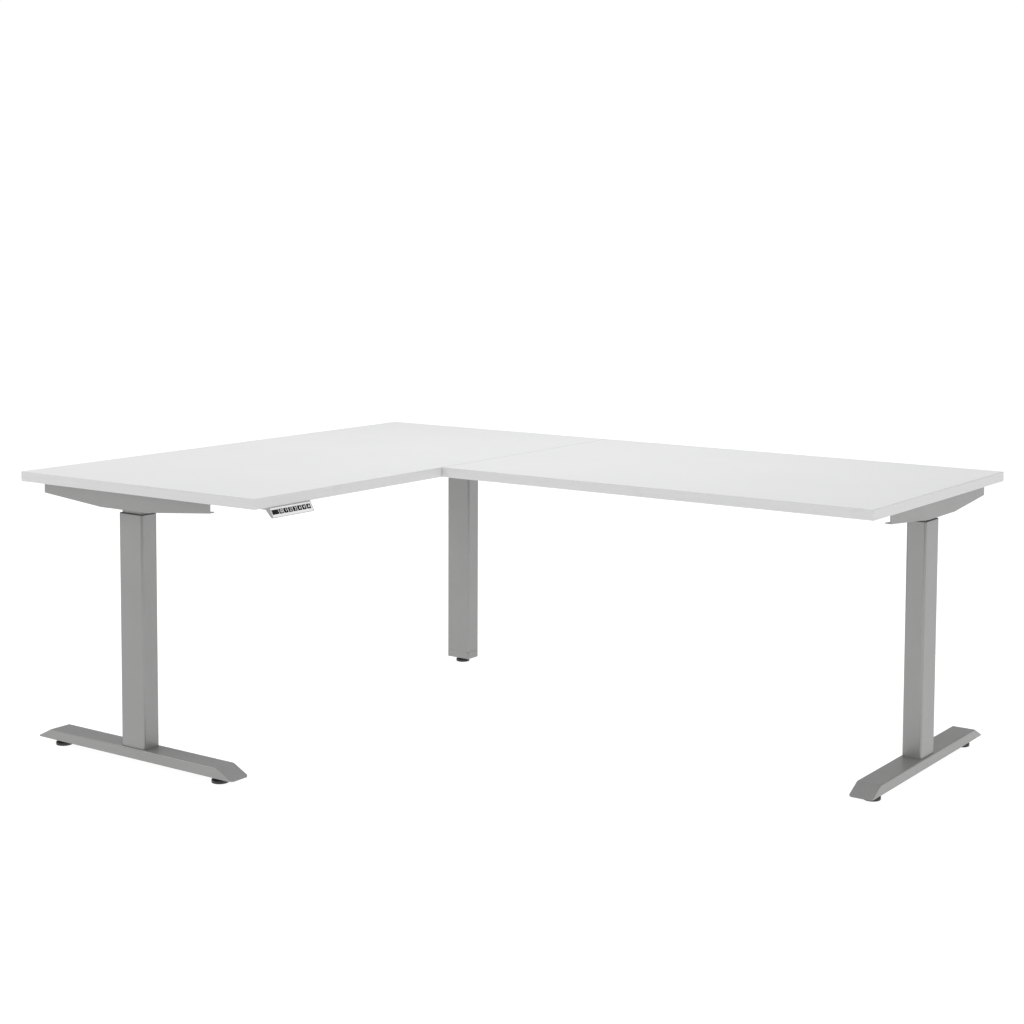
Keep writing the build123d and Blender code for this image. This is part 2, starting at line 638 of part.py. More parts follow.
def make_side_bracket(side, place):
    """Folded sheet arm: outer web, lower flange, plate over the column and screw ears."""
    middle = BRACKET_SHIFTS[side]
    low = underside_outline(middle, 0.0)
    high = underside_outline(middle, BRACKET_SHEET)
    with BuildPart() as bracket:
        with BuildSketch(side_plane(place, WEB_Y)):
            Polygon(
                *low,
                (middle + HALF_BRACKET, UNDERSIDE),
                (middle - HALF_BRACKET, UNDERSIDE),
                align=None,
            )
        extrude(amount=-BRACKET_SHEET)
        with BuildSketch(side_plane(place, WEB_Y)):
            Polygon(*low, *reversed(high), align=None)
        extrude(amount=-ARM_FLANGE_WIDTH)
        box_between(
            (-BRACKET_KINK, WEB_Y, PLATE_BOTTOM),
            (BRACKET_KINK, PLATE_REACH, PLATE_TOP),
            place,
        )
        for end in (-1, 1):
            ear_low, ear_high = sorted((middle + end * EAR_START, middle + end * HALF_BRACKET))
            box_between(
                (ear_low, WEB_Y, UNDERSIDE - BRACKET_SHEET),
                (ear_high, WEB_Y + SIDE_EAR_WIDTH, UNDERSIDE),
                place,
            )
        ear_bottom = UNDERSIDE - BRACKET_SHEET
        disc(ear_points(side), SCREW_HOLE_RADIUS, ear_bottom, UNDERSIDE, place, Mode.SUBTRACT)
        column_holes(place, PLATE_BOTTOM, PLATE_TOP)
    save(bracket, f"{side}_side_bracket")


for side_name in BRACKET_SHIFTS:
    make_side_bracket(side_name, PLACES[side_name])

with BuildPart() as corner_bracket:
    corner_place = PLACES["corner"]
    half_width = CORNER_BRACKET_WIDTH / 2
    wall_out = RAIL_OUTER + BRACKET_SHEET
    ear_out = RAIL_OUTER + CORNER_EAR_WIDTH
    strips = [(-wall_out, wall_out, PLATE_BOTTOM, PLATE_TOP)]
    for end in (-1, 1):
        strips.append((*sorted((end * RAIL_OUTER, end * wall_out)), PLATE_BOTTOM, UNDERSIDE))
        strips.append((*sorted((end * RAIL_OUTER, end * ear_out)), UNDERSIDE - BRACKET_SHEET, UNDERSIDE))
    for low_x, high_x, bottom, top in strips:
        box_between((low_x, -half_width, bottom), (high_x, half_width, top), corner_place)
    ear_bottom = UNDERSIDE - BRACKET_SHEET
    disc(CORNER_EAR_SCREWS, SCREW_HOLE_RADIUS, ear_bottom, UNDERSIDE, corner_place, Mode.SUBTRACT)
    column_holes(corner_place, PLATE_BOTTOM, PLATE_TOP)
save(corner_bracket, "corner_bracket")


JOINT_HEIGHT = 656.0
JOINT_BOLT_OFFSET = 22.0  # from the corner of the angle to its bolt
ANGLE_LEG = 42.0
ANGLE_SHEET = 3.0
ANGLE_HEIGHT = 30.0
HANDSET_CABLE_CROSSING = -350.0  # Y of the hole that the handset cable passes through


def add_rail(place, side, start, length):
    """One C-section rail, open towards its twin."""
    web_out = side * RAIL_OUTER
    web_in = side * (RAIL_OUTER - RAIL_SHEET)
    lip = side * RAIL_INNER
    with BuildSketch(side_plane(place, start)) as section:
        Polygon(
            (lip, PLATE_TOP),
            (web_out, PLATE_TOP),
            (web_out, UNDERSIDE),
            (lip, UNDERSIDE),
            (lip, UNDERSIDE - RAIL_SHEET),
            (web_in, UNDERSIDE - RAIL_SHEET),
            (web_in, PLATE_TOP + RAIL_SHEET),
            (lip, PLATE_TOP + RAIL_SHEET),
            align=None,
        )
    extrude(section.sketch, amount=-length)


def drill_rails(points, bolt_points):
    """Screw holes with access holes under them, and bolt holes, all upright."""
    top_flange = UNDERSIDE - RAIL_SHEET
    low_flange = PLATE_TOP + RAIL_SHEET
    disc(points, SCREW_HOLE_RADIUS, top_flange, UNDERSIDE, mode=Mode.SUBTRACT)
    disc(points, ACCESS_RADIUS, PLATE_TOP, low_flange, mode=Mode.SUBTRACT)
    disc(bolt_points, BOLT_RADIUS + HOLE_GAP, PLATE_TOP, low_flange, mode=Mode.SUBTRACT)


JOINT_YS = [RIGHT_COLUMN_Y + side * (RAIL_OUTER + JOINT_BOLT_OFFSET) for side in (-1, 1)]

with BuildPart() as left_rails:
    for rail_side in (-1, 1):
        add_rail(PLACES["left"], rail_side, RAIL_START, LEFT_RAIL_LENGTH)
    rail_bolts = to_world(PLACES["left"], RAIL_BOLT_POINTS) + to_world(
        PLACES["corner"], RAIL_BOLT_POINTS
    )
    drill_rails(LEFT_RAIL_SCREWS, rail_bolts)
    with BuildSketch(Plane.YZ.offset(LEFT_WEB - RAIL_SHEET)):
        with Locations((HANDSET_CABLE_CROSSING, CABLE_HEIGHT), (RIGHT_COLUMN_Y, CABLE_HEIGHT)):
            Circle(CABLE_HOLE_RADIUS)
        with Locations(*[(joint_y, JOINT_HEIGHT) for joint_y in JOINT_YS]):
            Circle(BOLT_RADIUS + HOLE_GAP)
    extrude(amount=RAIL_SHEET, mode=Mode.SUBTRACT)
save(left_rails, "left_frame_rails")

JOINT_BOLT_X = LEFT_WEB + JOINT_BOLT_OFFSET
with BuildPart() as right_rails:
    for rail_side in (-1, 1):
        add_rail(PLACES["right"], rail_side, RAIL_START, RIGHT_RAIL_LENGTH)
    drill_rails(RIGHT_RAIL_SCREWS, to_world(PLACES["right"], RAIL_BOLT_POINTS))
    with BuildSketch(Plane.XZ.offset(-(RIGHT_COLUMN_Y + RAIL_OUTER))):
        with Locations((JOINT_BOLT_X, JOINT_HEIGHT)):
            Circle(BOLT_RADIUS + HOLE_GAP)
    extrude(amount=2 * RAIL_OUTER, mode=Mode.SUBTRACT)
save(right_rails, "right_frame_rails")

with BuildPart() as angles:
    for rail_side in (-1, 1):
        face = RIGHT_COLUMN_Y + rail_side * RAIL_OUTER
        angle_bottom = JOINT_HEIGHT - ANGLE_HEIGHT / 2
        angle_top = JOINT_HEIGHT + ANGLE_HEIGHT / 2
        for reach_x, reach_y in ((ANGLE_LEG, ANGLE_SHEET), (ANGLE_SHEET, ANGLE_LEG)):
            low_y, high_y = sorted((face, face + rail_side * reach_y))
            box_between((LEFT_WEB, low_y, angle_bottom), (LEFT_WEB + reach_x, high_y, angle_top))
    with BuildSketch(Plane.YZ.offset(LEFT_WEB)):
        with Locations(*[(joint_y, JOINT_HEIGHT) for joint_y in JOINT_YS]):
            Circle(BOLT_RADIUS + HOLE_GAP)
    extrude(amount=ANGLE_SHEET, mode=Mode.SUBTRACT)
    with BuildSketch(Plane.XZ.offset(-(RIGHT_COLUMN_Y + RAIL_OUTER + ANGLE_SHEET))):
        with Locations((JOINT_BOLT_X, JOINT_HEIGHT)):
            Circle(BOLT_RADIUS + HOLE_GAP)
    extrude(amount=2 * (RAIL_OUTER + ANGLE_SHEET), mode=Mode.SUBTRACT)
save(angles, "rail_joint_brackets")

HEX_HEAD = 4.0
HEX_RADIUS = 5.6
PLATE_BOLT_REACH = 6.0  # above the plate
JOINT_BOLT_REACH = 8.0  # behind the outer face of the rail
joint_points = [(joint_y, JOINT_HEIGHT) for joint_y in JOINT_YS]
cap_radius, cap_height = CAP_HEAD
cap_seat = GEARBOX_TOP - CAP_RECESS[1]
with BuildPart() as frame_bolts:
    for side_place in PLACES.values():
        disc(RAIL_BOLT_POINTS, BOLT_RADIUS, PLATE_BOTTOM, PLATE_TOP + PLATE_BOLT_REACH, side_place)
        disc(HEAD_BOLT_POINTS, BOLT_RADIUS, PLATE_BOTTOM - HEAD_THICKNESS, cap_seat, side_place)
        disc(HEAD_BOLT_POINTS, cap_radius, cap_seat, cap_seat + cap_height, side_place)
        with BuildSketch(side_place.offset(PLATE_BOTTOM - HEX_HEAD)):
            with Locations(*RAIL_BOLT_POINTS):
                RegularPolygon(radius=HEX_RADIUS, side_count=6)
        extrude(amount=HEX_HEAD)
    with BuildSketch(Plane.YZ.offset(LEFT_WEB - JOINT_BOLT_REACH)):
        with Locations(*joint_points):
            Circle(BOLT_RADIUS)
    extrude(amount=JOINT_BOLT_REACH + ANGLE_SHEET)
    with BuildSketch(Plane.YZ.offset(LEFT_WEB + ANGLE_SHEET)):
        with Locations(*joint_points):
            RegularPolygon(radius=HEX_RADIUS, side_count=6)
    extrude(amount=HEX_HEAD)
    for rail_side in (-1, 1):
        outer_face = RIGHT_COLUMN_Y + rail_side * (RAIL_OUTER + ANGLE_SHEET)
        with BuildSketch(Plane.XZ.offset(-outer_face)):
            with Locations((JOINT_BOLT_X, JOINT_HEIGHT)):
                Circle(BOLT_RADIUS)
        extrude(amount=rail_side * (ANGLE_SHEET + JOINT_BOLT_REACH))
        with BuildSketch(Plane.XZ.offset(-outer_face)):
            with Locations((JOINT_BOLT_X, JOINT_HEIGHT)):
                RegularPolygon(radius=HEX_RADIUS, side_count=6)
        extrude(amount=-rail_side * HEX_HEAD)
save(frame_bolts, "frame_bolts")

head_radius, head_height = SCREW_HEAD
with BuildPart() as top_screws:
    for points, seat in TOP_SCREWS.values():
        disc(points, SCREW_RADIUS, seat, UNDERSIDE + SCREW_LENGTH)
        disc(points, head_radius, seat - head_height, seat)
save(top_screws, "top_screws")


# ---------------------------------------------------------------- control box
BOX_CORNER = 3.0
INLET_SIZE = (30.0, 22.0)
INLET_CORNER = 3.0
INLET_HEIGHT = 656.0
INLET_DEPTH = 20.0
INLET_PROUD = 1.5
SOCKET_SIZE = (24.5, 16.5)
SOCKET_CORNER = 4.0
SOCKET_FLOOR = 3.0  # thickness behind the socket
PIN_SIZE = (2.0, 4.0)
PIN_SPOTS = ((-7.0, 0.0), (0.0, 3.0), (7.0, 0.0))
PIN_SETBACK = 4.0

with BuildPart() as control_box:
    box_between(
        (LEFT_COLUMN_X - BOX_WIDTH / 2, BOX_START, BOX_BOTTOM),
        (LEFT_COLUMN_X + BOX_WIDTH / 2, BOX_END, BOX_TOP),
    )
    fillet(control_box.edges().filter_by(Axis.Y), radius=BOX_CORNER)
    tab_bottom = UNDERSIDE - TAB_THICKNESS
    box_between(
        (LEFT_COLUMN_X - BOX_TAB_WIDTH / 2, BOX_START - BOX_TAB_REACH, tab_bottom),
        (LEFT_COLUMN_X + BOX_TAB_WIDTH / 2, BOX_END + BOX_TAB_REACH, UNDERSIDE),
    )
    disc(BOX_SCREWS, SCREW_HOLE_RADIUS, tab_bottom, UNDERSIDE, mode=Mode.SUBTRACT)
    with BuildSketch(Plane.XZ.offset(-BOX_END)):
        with Locations((LEFT_COLUMN_X, INLET_HEIGHT)):
            RectangleRounded(*INLET_SIZE, INLET_CORNER)
    extrude(amount=INLET_DEPTH, mode=Mode.SUBTRACT)
save(control_box, "control_box")

with BuildPart() as mains_inlet:
    inlet_plane = Plane.XZ.offset(-(BOX_END + INLET_PROUD))
    inlet_length = INLET_DEPTH + INLET_PROUD
    with BuildSketch(inlet_plane):
        with Locations((LEFT_COLUMN_X, INLET_HEIGHT)):
            RectangleRounded(INLET_SIZE[0] - FIT_GAP, INLET_SIZE[1] - FIT_GAP, INLET_CORNER)
    extrude(amount=inlet_length)
    with BuildSketch(inlet_plane):
        with Locations((LEFT_COLUMN_X, INLET_HEIGHT)):
            RectangleRounded(*SOCKET_SIZE, SOCKET_CORNER)
    extrude(amount=inlet_length - SOCKET_FLOOR, mode=Mode.SUBTRACT)
    with BuildSketch(inlet_plane.offset(PIN_SETBACK)):
        with Locations(*[(LEFT_COLUMN_X + x, INLET_HEIGHT + z) for x, z in PIN_SPOTS]):
            Rectangle(*PIN_SIZE)
    extrude(amount=inlet_length - PIN_SETBACK - SOCKET_FLOOR / 2)
save(mains_inlet, "mains_inlet")


# ---------------------------------------------------------------- handset
FACE_RUN = HANDSET_FACE_BOTTOM[0] - HANDSET_FACE_TOP[0]
FACE_DROP = HANDSET_FACE_TOP[1] - HANDSET_FACE_BOTTOM[1]
FACE_LENGTH = hypot(FACE_RUN, FACE_DROP)
FACE_MIDDLE = (
    HANDSET_X + (HANDSET_FACE_TOP[0] + HANDSET_FACE_BOTTOM[0]) / 2,
    HANDSET_CENTRE,
    (HANDSET_FACE_TOP[1] + HANDSET_FACE_BOTTOM[1]) / 2,
)
FACE_NORMAL = (FACE_DROP, 0, FACE_RUN)
# x of the face runs along the wing's edge towards the corner, y runs up the slope
FACE_PLANE = Plane(origin=FACE_MIDDLE, x_dir=(0, 1, 0), z_dir=FACE_NORMAL)
BUTTON_SLOT = 2 * BUTTON_GAP
DISPLAY_FROM_END = 4.6  # from the case's end
DISPLAY_GAP = 2.0  # to the first button
DISPLAY_START = -HANDSET_LENGTH / 2 + DISPLAY_FROM_END
FIRST_BUTTON = DISPLAY_START + DISPLAY_LENGTH + DISPLAY_GAP + BUTTON_WIDTH / 2
BUTTON_XS = [FIRST_BUTTON + index * BUTTON_PITCH for index in range(BUTTON_COUNT)]
CASE_CORNER = 2.0
CASE_OUTLINE = (  # beyond the board's edge, height
    (-HANDSET_TAB_REACH, UNDERSIDE),
    (-1.0, UNDERSIDE),
    HANDSET_FACE_TOP,
    HANDSET_FACE_BOTTOM,
    HANDSET_BACK_BOTTOM,
    HANDSET_BACK_TOP,
    (-HANDSET_TAB_REACH, HANDSET_BACK_TOP[1]),
)

with BuildPart() as handset_case:
    with BuildSketch(Plane.XZ.offset(-(HANDSET_START + HANDSET_LENGTH))):
        Polygon(*[(HANDSET_X + x, z) for x, z in CASE_OUTLINE], align=None)
    extrude(amount=HANDSET_LENGTH)
    end_edges = handset_case.edges().filter_by(Axis.Y, reverse=True)
    fillet(end_edges.group_by(Axis.X)[-1], radius=CASE_CORNER)
    with BuildSketch(FACE_PLANE.offset(-POCKET_DEPTH)):
        with Locations(*[(x, KEY_RISE) for x in BUTTON_XS]):
            Rectangle(BUTTON_WIDTH + BUTTON_SLOT, BUTTON_HEIGHT + BUTTON_SLOT)
        with Locations((DISPLAY_START + DISPLAY_LENGTH / 2, KEY_RISE)):
            Rectangle(DISPLAY_LENGTH, BUTTON_HEIGHT)
    extrude(amount=POCKET_DEPTH + 1.0, mode=Mode.SUBTRACT)
    tab_seat = UNDERSIDE - TAB_THICKNESS
    disc(HANDSET_SCREWS, SCREW_HOLE_RADIUS, tab_seat, UNDERSIDE, mode=Mode.SUBTRACT)
    disc(HANDSET_SCREWS, ACCESS_RADIUS, HANDSET_BACK_TOP[1], tab_seat, mode=Mode.SUBTRACT)
save(handset_case, "handset_case")

with BuildPart() as display:
    with BuildSketch(FACE_PLANE.offset(-POCKET_DEPTH)):
        with Locations((DISPLAY_START + DISPLAY_LENGTH / 2, KEY_RISE)):
            Rectangle(DISPLAY_LENGTH - FIT_GAP, BUTTON_HEIGHT - FIT_GAP)
    extrude(amount=POCKET_DEPTH + DISPLAY_PROUD)
save(display, "handset_display")

BUTTON_REST = -POCKET_DEPTH + BUTTON_TRAVEL + BUTTON_GAP  # back of a button that is not pressed
BUTTON_EDGE = 0.6
BUTTON_NAMES = (
    "memory_button",
    "preset_1_button",
    "preset_2_button",
    "preset_3_button",
    "preset_4_button",
    "down_button",
    "up_button",
)
for button_name, button_x in zip(BUTTON_NAMES, BUTTON_XS):
    with BuildPart() as button:
        with BuildSketch(FACE_PLANE.offset(BUTTON_REST)):
            with Locations((button_x, KEY_RISE)):
                Rectangle(BUTTON_WIDTH, BUTTON_HEIGHT)
        extrude(amount=BUTTON_PROUD - BUTTON_REST)
        cap_face = button.faces().filter_by(FACE_PLANE).sort_by(Axis(FACE_MIDDLE, FACE_NORMAL))[-1]
        fillet(cap_face.edges(), radius=BUTTON_EDGE)
    save(button, button_name)


# ---------------------------------------------------------------- cables
BEND_SHARE = 0.45  # of the shorter run beside a bend
RAIL_BEND_ROOM = 42.0  # for a bend between the rails


def cable(route, radius, bend_room):
    """Round cable along straight runs joined by tangent arcs, as large as there is room for."""
    points = [Vector(*point) for point in route]
    runs = [after - before for before, after in zip(points, points[1:])]
    bends = []
    for before, after in zip(runs, runs[1:]):
        half_turn = radians(before.get_angle(after) / 2)
        shorter = min(before.length, after.length)
        bends.append(BEND_SHARE * shorter / tan(half_turn))
    bends[-1] = min(bends[-1], bend_room)
    with BuildPart() as piece:
        with BuildLine() as path:
            FilletPolyline(*points, radius=bends)
        with BuildSketch(Plane(origin=points[0], z_dir=runs[0])):
            Circle(radius)
        sweep(path=path.wires()[0])
    print("cable", [round(bend, 1) for bend in bends], round(piece.part.volume, 1))
    return piece


MOTOR_END = GEARBOX_BACK + MOTOR_LENGTH  # along the place's y
LEFT_MOTOR_END = FRONT + LEG_INSET + MOTOR_END
CORNER_MOTOR_END = BACK - CORNER_LEG_INSET - MOTOR_END
RIGHT_MOTOR_END = RIGHT - LEG_INSET - MOTOR_END
SOCKET_OFFSET = 28.0  # of the cable sockets from the box's centre line
HANDSET_CABLE_HEIGHT = 671.5  # where it leaves the handset

ROUTES = {
    "left_motor_cable": (
        (LEFT_COLUMN_X, LEFT_MOTOR_END, MOTOR_HEIGHT),
        (LEFT_COLUMN_X, LEFT_MOTOR_END + 60.0, MOTOR_HEIGHT),
        (LEFT_COLUMN_X - SOCKET_OFFSET, LEFT_MOTOR_END + 140.0, CABLE_HEIGHT),
        (LEFT_COLUMN_X - SOCKET_OFFSET, BOX_START, CABLE_HEIGHT),
    ),
    "corner_motor_cable": (
        (LEFT_COLUMN_X, CORNER_MOTOR_END, MOTOR_HEIGHT),
        (LEFT_COLUMN_X, CORNER_MOTOR_END - 50.0, MOTOR_HEIGHT),
        (LEFT_COLUMN_X - SOCKET_OFFSET, CORNER_MOTOR_END - 140.0, CABLE_HEIGHT),
        (LEFT_COLUMN_X - SOCKET_OFFSET, BOX_END, CABLE_HEIGHT),
    ),
    "right_motor_cable": (
        (RIGHT_MOTOR_END, RIGHT_COLUMN_Y, MOTOR_HEIGHT),
        (RIGHT_MOTOR_END - 60.0, RIGHT_COLUMN_Y, MOTOR_HEIGHT),
        (RIGHT_MOTOR_END - 140.0, RIGHT_COLUMN_Y, CABLE_HEIGHT),
        (LEFT_COLUMN_X + SOCKET_OFFSET, RIGHT_COLUMN_Y, CABLE_HEIGHT),
        (LEFT_COLUMN_X + SOCKET_OFFSET, BOX_END, CABLE_HEIGHT),
    ),
    "handset_cable": (
        (HANDSET_X - HANDSET_TAB_REACH, HANDSET_CENTRE, HANDSET_CABLE_HEIGHT),
        (HANDSET_X - 100.0, HANDSET_CENTRE, HANDSET_CABLE_HEIGHT),
        (HANDSET_X - 150.0, HANDSET_CENTRE + 20.0, CABLE_HEIGHT),
        (HANDSET_X - 290.0, HANDSET_CABLE_CROSSING, CABLE_HEIGHT),
        (LEFT_COLUMN_X + SOCKET_OFFSET, HANDSET_CABLE_CROSSING, CABLE_HEIGHT),
        (LEFT_COLUMN_X + SOCKET_OFFSET, BOX_START, CABLE_HEIGHT),
    ),
}
for cable_name, cable_route in ROUTES.items():
    cable_radius = HANDSET_CABLE_RADIUS if "handset" in cable_name else MOTOR_CABLE_RADIUS
    turns_in_rails = cable_name in ("right_motor_cable", "handset_cable")
    room = RAIL_BEND_ROOM if turns_in_rails else DESK_WIDTH
    save(cable(cable_route, cable_radius, room), cable_name)

CLIP_LENGTH = 8.0
CLIP_WIDTH = 14.0
CLIP_WALL = 3.0  # below the cable
LEFT_LINE = LEFT_COLUMN_X - SOCKET_OFFSET
RIGHT_LINE = LEFT_COLUMN_X + SOCKET_OFFSET

# clips stuck to the underside, each round a straight run: middle of the cable, its radius, run along X
CLIPS = (
    ((LEFT_LINE, LEFT_MOTOR_END + 220.0, CABLE_HEIGHT), MOTOR_CABLE_RADIUS, False),
    ((LEFT_LINE, BOX_END + 60.0, CABLE_HEIGHT), MOTOR_CABLE_RADIUS, False),
    ((LEFT_LINE, BOX_END + 240.0, CABLE_HEIGHT), MOTOR_CABLE_RADIUS, False),
    ((RIGHT_LINE, BOX_END + 90.0, CABLE_HEIGHT), MOTOR_CABLE_RADIUS, False),
    ((RIGHT_LINE, BOX_END + 200.0, CABLE_HEIGHT), MOTOR_CABLE_RADIUS, False),
    ((RIGHT_MOTOR_END - 260.0, RIGHT_COLUMN_Y, CABLE_HEIGHT), MOTOR_CABLE_RADIUS, True),
    ((RIGHT_MOTOR_END - 620.0, RIGHT_COLUMN_Y, CABLE_HEIGHT), MOTOR_CABLE_RADIUS, True),
    ((RIGHT_MOTOR_END - 980.0, RIGHT_COLUMN_Y, CABLE_HEIGHT), MOTOR_CABLE_RADIUS, True),
    ((HANDSET_X - 71.0, HANDSET_CENTRE, HANDSET_CABLE_HEIGHT), HANDSET_CABLE_RADIUS, True),
)
with BuildPart() as clips:
    for (clip_x, clip_y, clip_z), bore, along_x in CLIPS:
        size_x, size_y = (CLIP_LENGTH, CLIP_WIDTH) if along_x else (CLIP_WIDTH, CLIP_LENGTH)
        box_between(
            (clip_x - size_x / 2, clip_y - size_y / 2, clip_z - bore - CLIP_WALL),
            (clip_x + size_x / 2, clip_y + size_y / 2, UNDERSIDE),
        )
        base = Plane.YZ.offset(clip_x) if along_x else Plane.XZ.offset(-clip_y)
        across = clip_y if along_x else clip_x
        with BuildSketch(base):
            with Locations((across, clip_z)):
                Circle(bore + HOLE_GAP)
        extrude(amount=CLIP_LENGTH / 2, both=True, mode=Mode.SUBTRACT)
save(clips, "cable_clips")
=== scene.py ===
"""Visual model of an L-shaped electric standing desk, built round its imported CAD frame.

Metres, +Z up, in the frame of the CAD: the origin is on the floor at the centre of the desk, +X
runs to the end of the right wing and +Y to the back.
"""

import json
import math

import bmesh
import bpy
from mathutils import Matrix, Vector


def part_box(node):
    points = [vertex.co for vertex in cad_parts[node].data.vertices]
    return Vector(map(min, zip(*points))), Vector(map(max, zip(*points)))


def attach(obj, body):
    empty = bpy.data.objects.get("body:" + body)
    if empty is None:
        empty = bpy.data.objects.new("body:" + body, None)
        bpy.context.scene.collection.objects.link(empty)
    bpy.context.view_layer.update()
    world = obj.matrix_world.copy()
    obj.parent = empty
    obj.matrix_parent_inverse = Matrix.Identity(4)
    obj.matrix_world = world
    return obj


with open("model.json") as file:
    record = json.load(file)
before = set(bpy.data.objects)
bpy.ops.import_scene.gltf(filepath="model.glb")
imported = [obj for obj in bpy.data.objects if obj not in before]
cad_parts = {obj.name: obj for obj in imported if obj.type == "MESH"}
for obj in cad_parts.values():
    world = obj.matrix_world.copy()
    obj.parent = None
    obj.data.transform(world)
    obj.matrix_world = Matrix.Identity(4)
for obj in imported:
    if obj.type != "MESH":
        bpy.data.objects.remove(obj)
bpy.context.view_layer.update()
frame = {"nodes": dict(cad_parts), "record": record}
NODES = frame["nodes"]

MM = 0.001
GLIDE_TOP = 11.0 * MM  # of the glide's pad, where its stud starts


# ---------------------------------------------------------------- camera, floor and light
CAMERA_PLACE = (2.6568, -3.7824, 1.3152)
CAMERA_HEADING = -0.6149  # radians, from +Y towards +X
CAMERA_TILT = 0.0770  # radians below the horizon
CAMERA_ROLL = 0.0040
CAMERA_LENS = 64.39
SENSOR_WIDTH = 36.0
CAMERA_SHIFT = -0.1387  # the desk stands low in the picture


def add_camera():
    """The camera, from its place, heading, tilt and roll."""
    flat = Vector((math.sin(CAMERA_HEADING), math.cos(CAMERA_HEADING), 0.0))
    level = Vector((math.cos(CAMERA_HEADING), -math.sin(CAMERA_HEADING), 0.0))
    ahead = flat * math.cos(CAMERA_TILT) - Vector((0, 0, math.sin(CAMERA_TILT)))
    above = level.cross(ahead)
    right = level * math.cos(CAMERA_ROLL) + above * math.sin(CAMERA_ROLL)
    up = above * math.cos(CAMERA_ROLL) - level * math.sin(CAMERA_ROLL)
    data = bpy.data.cameras.new("camera")
    data.lens = CAMERA_LENS
    data.sensor_width = SENSOR_WIDTH
    data.shift_y = CAMERA_SHIFT
    camera = bpy.data.objects.new("camera", data)
    bpy.context.scene.collection.objects.link(camera)
    turn = Matrix((right, up, -ahead)).transposed()
    camera.matrix_world = Matrix.Translation(CAMERA_PLACE) @ turn.to_4x4()
    bpy.context.scene.camera = camera


def add_area_light(name, place, target, size, power):
    """A square soft light that faces its target."""
    data = bpy.data.lights.new(name, "AREA")
    data.shape = "SQUARE"
    data.size = size
    data.energy = power
    light = bpy.data.objects.new(name, data)
    bpy.context.scene.collection.objects.link(light)
    light.location = place
    light.rotation_mode = "QUATERNION"
    light.rotation_quaternion = (Vector(target) - Vector(place)).to_track_quat("-Z", "Y")


FLOOR_SIZE = 400.0
FLOOR_GLOW = 0.92
SKY_AT_HORIZON = 0.36
SKY_OVERHEAD = 0.82
SKY_SHOWN = 1.02  # behind the desk, in the picture
AREA_LIGHTS = {  # place, target, size, power in watts
    "key_light": ((-3.2, -2.1, 2.9), (0.0, -0.2, 0.3), 1.4, 34.0),
    "top_light": ((-0.1, 0.5, 3.0), (-0.1, 0.4, 0.7), 1.8, 22.0),
    "side_light": ((4.2, -0.6, 1.2), (0.2, 0.0, 0.4), 2.0, 13.0),
    "front_light": ((3.0, -4.2, 0.4), (0.0, 0.0, 0.3), 0.6, 12.0),
}


def add_floor():
    """A wide pale floor that glows a little, so that only soft shadows show on it."""
    half = FLOOR_SIZE / 2
    mesh = bpy.data.meshes.new("floor")
    corners = [(-half, -half, 0), (half, -half, 0), (half, half, 0), (-half, half, 0)]
    mesh.from_pydata(corners, [], [(0, 1, 2, 3)])
    floor = bpy.data.objects.new("floor", mesh)
    bpy.context.scene.collection.objects.link(floor)
    material = bpy.data.materials.new("pale_floor")
    material.use_nodes = True
    shader = material.node_tree.nodes["Principled BSDF"]
    shader.inputs["Base Color"].default_value = (0.30, 0.30, 0.30, 1)
    shader.inputs["Roughness"].default_value = 0.9
    shader.inputs["Specular IOR Level"].default_value = 0.0
    shader.inputs["Emission Color"].default_value = (1, 1, 1, 1)
    shader.inputs["Emission Strength"].default_value = FLOOR_GLOW
    mesh.materials.append(material)


def add_world():
    """White surroundings that light the desk from above more than from the sides."""
    world = bpy.data.worlds.new("studio")
    bpy.context.scene.world = world
    world.use_nodes = True
    nodes, links = world.node_tree.nodes, world.node_tree.links
    background = nodes["Background"]
    background.inputs["Color"].default_value = (1, 1, 1, 1)
    direction = nodes.new("ShaderNodeTexCoord")
    upward = nodes.new("ShaderNodeSeparateXYZ")
    links.new(direction.outputs["Generated"], upward.inputs["Vector"])
    sky = nodes.new("ShaderNodeMapRange")
    sky.inputs["To Min"].default_value = SKY_AT_HORIZON
    sky.inputs["To Max"].default_value = SKY_OVERHEAD
    links.new(upward.outputs["Z"], sky.inputs["Value"])
    path = nodes.new("ShaderNodeLightPath")
    strength = nodes.new("ShaderNodeMapRange")
    strength.inputs["To Max"].default_value = SKY_SHOWN
    links.new(sky.outputs["Result"], strength.inputs["To Min"])
    links.new(path.outputs["Is Camera Ray"], strength.inputs["Value"])
    links.new(strength.outputs["Result"], background.inputs["Strength"])


add_camera()
add_floor()
add_world()
for light_name, light_setting in AREA_LIGHTS.items():
    add_area_light(light_name, *light_setting)
bpy.context.scene.view_settings.view_transform = "Standard"


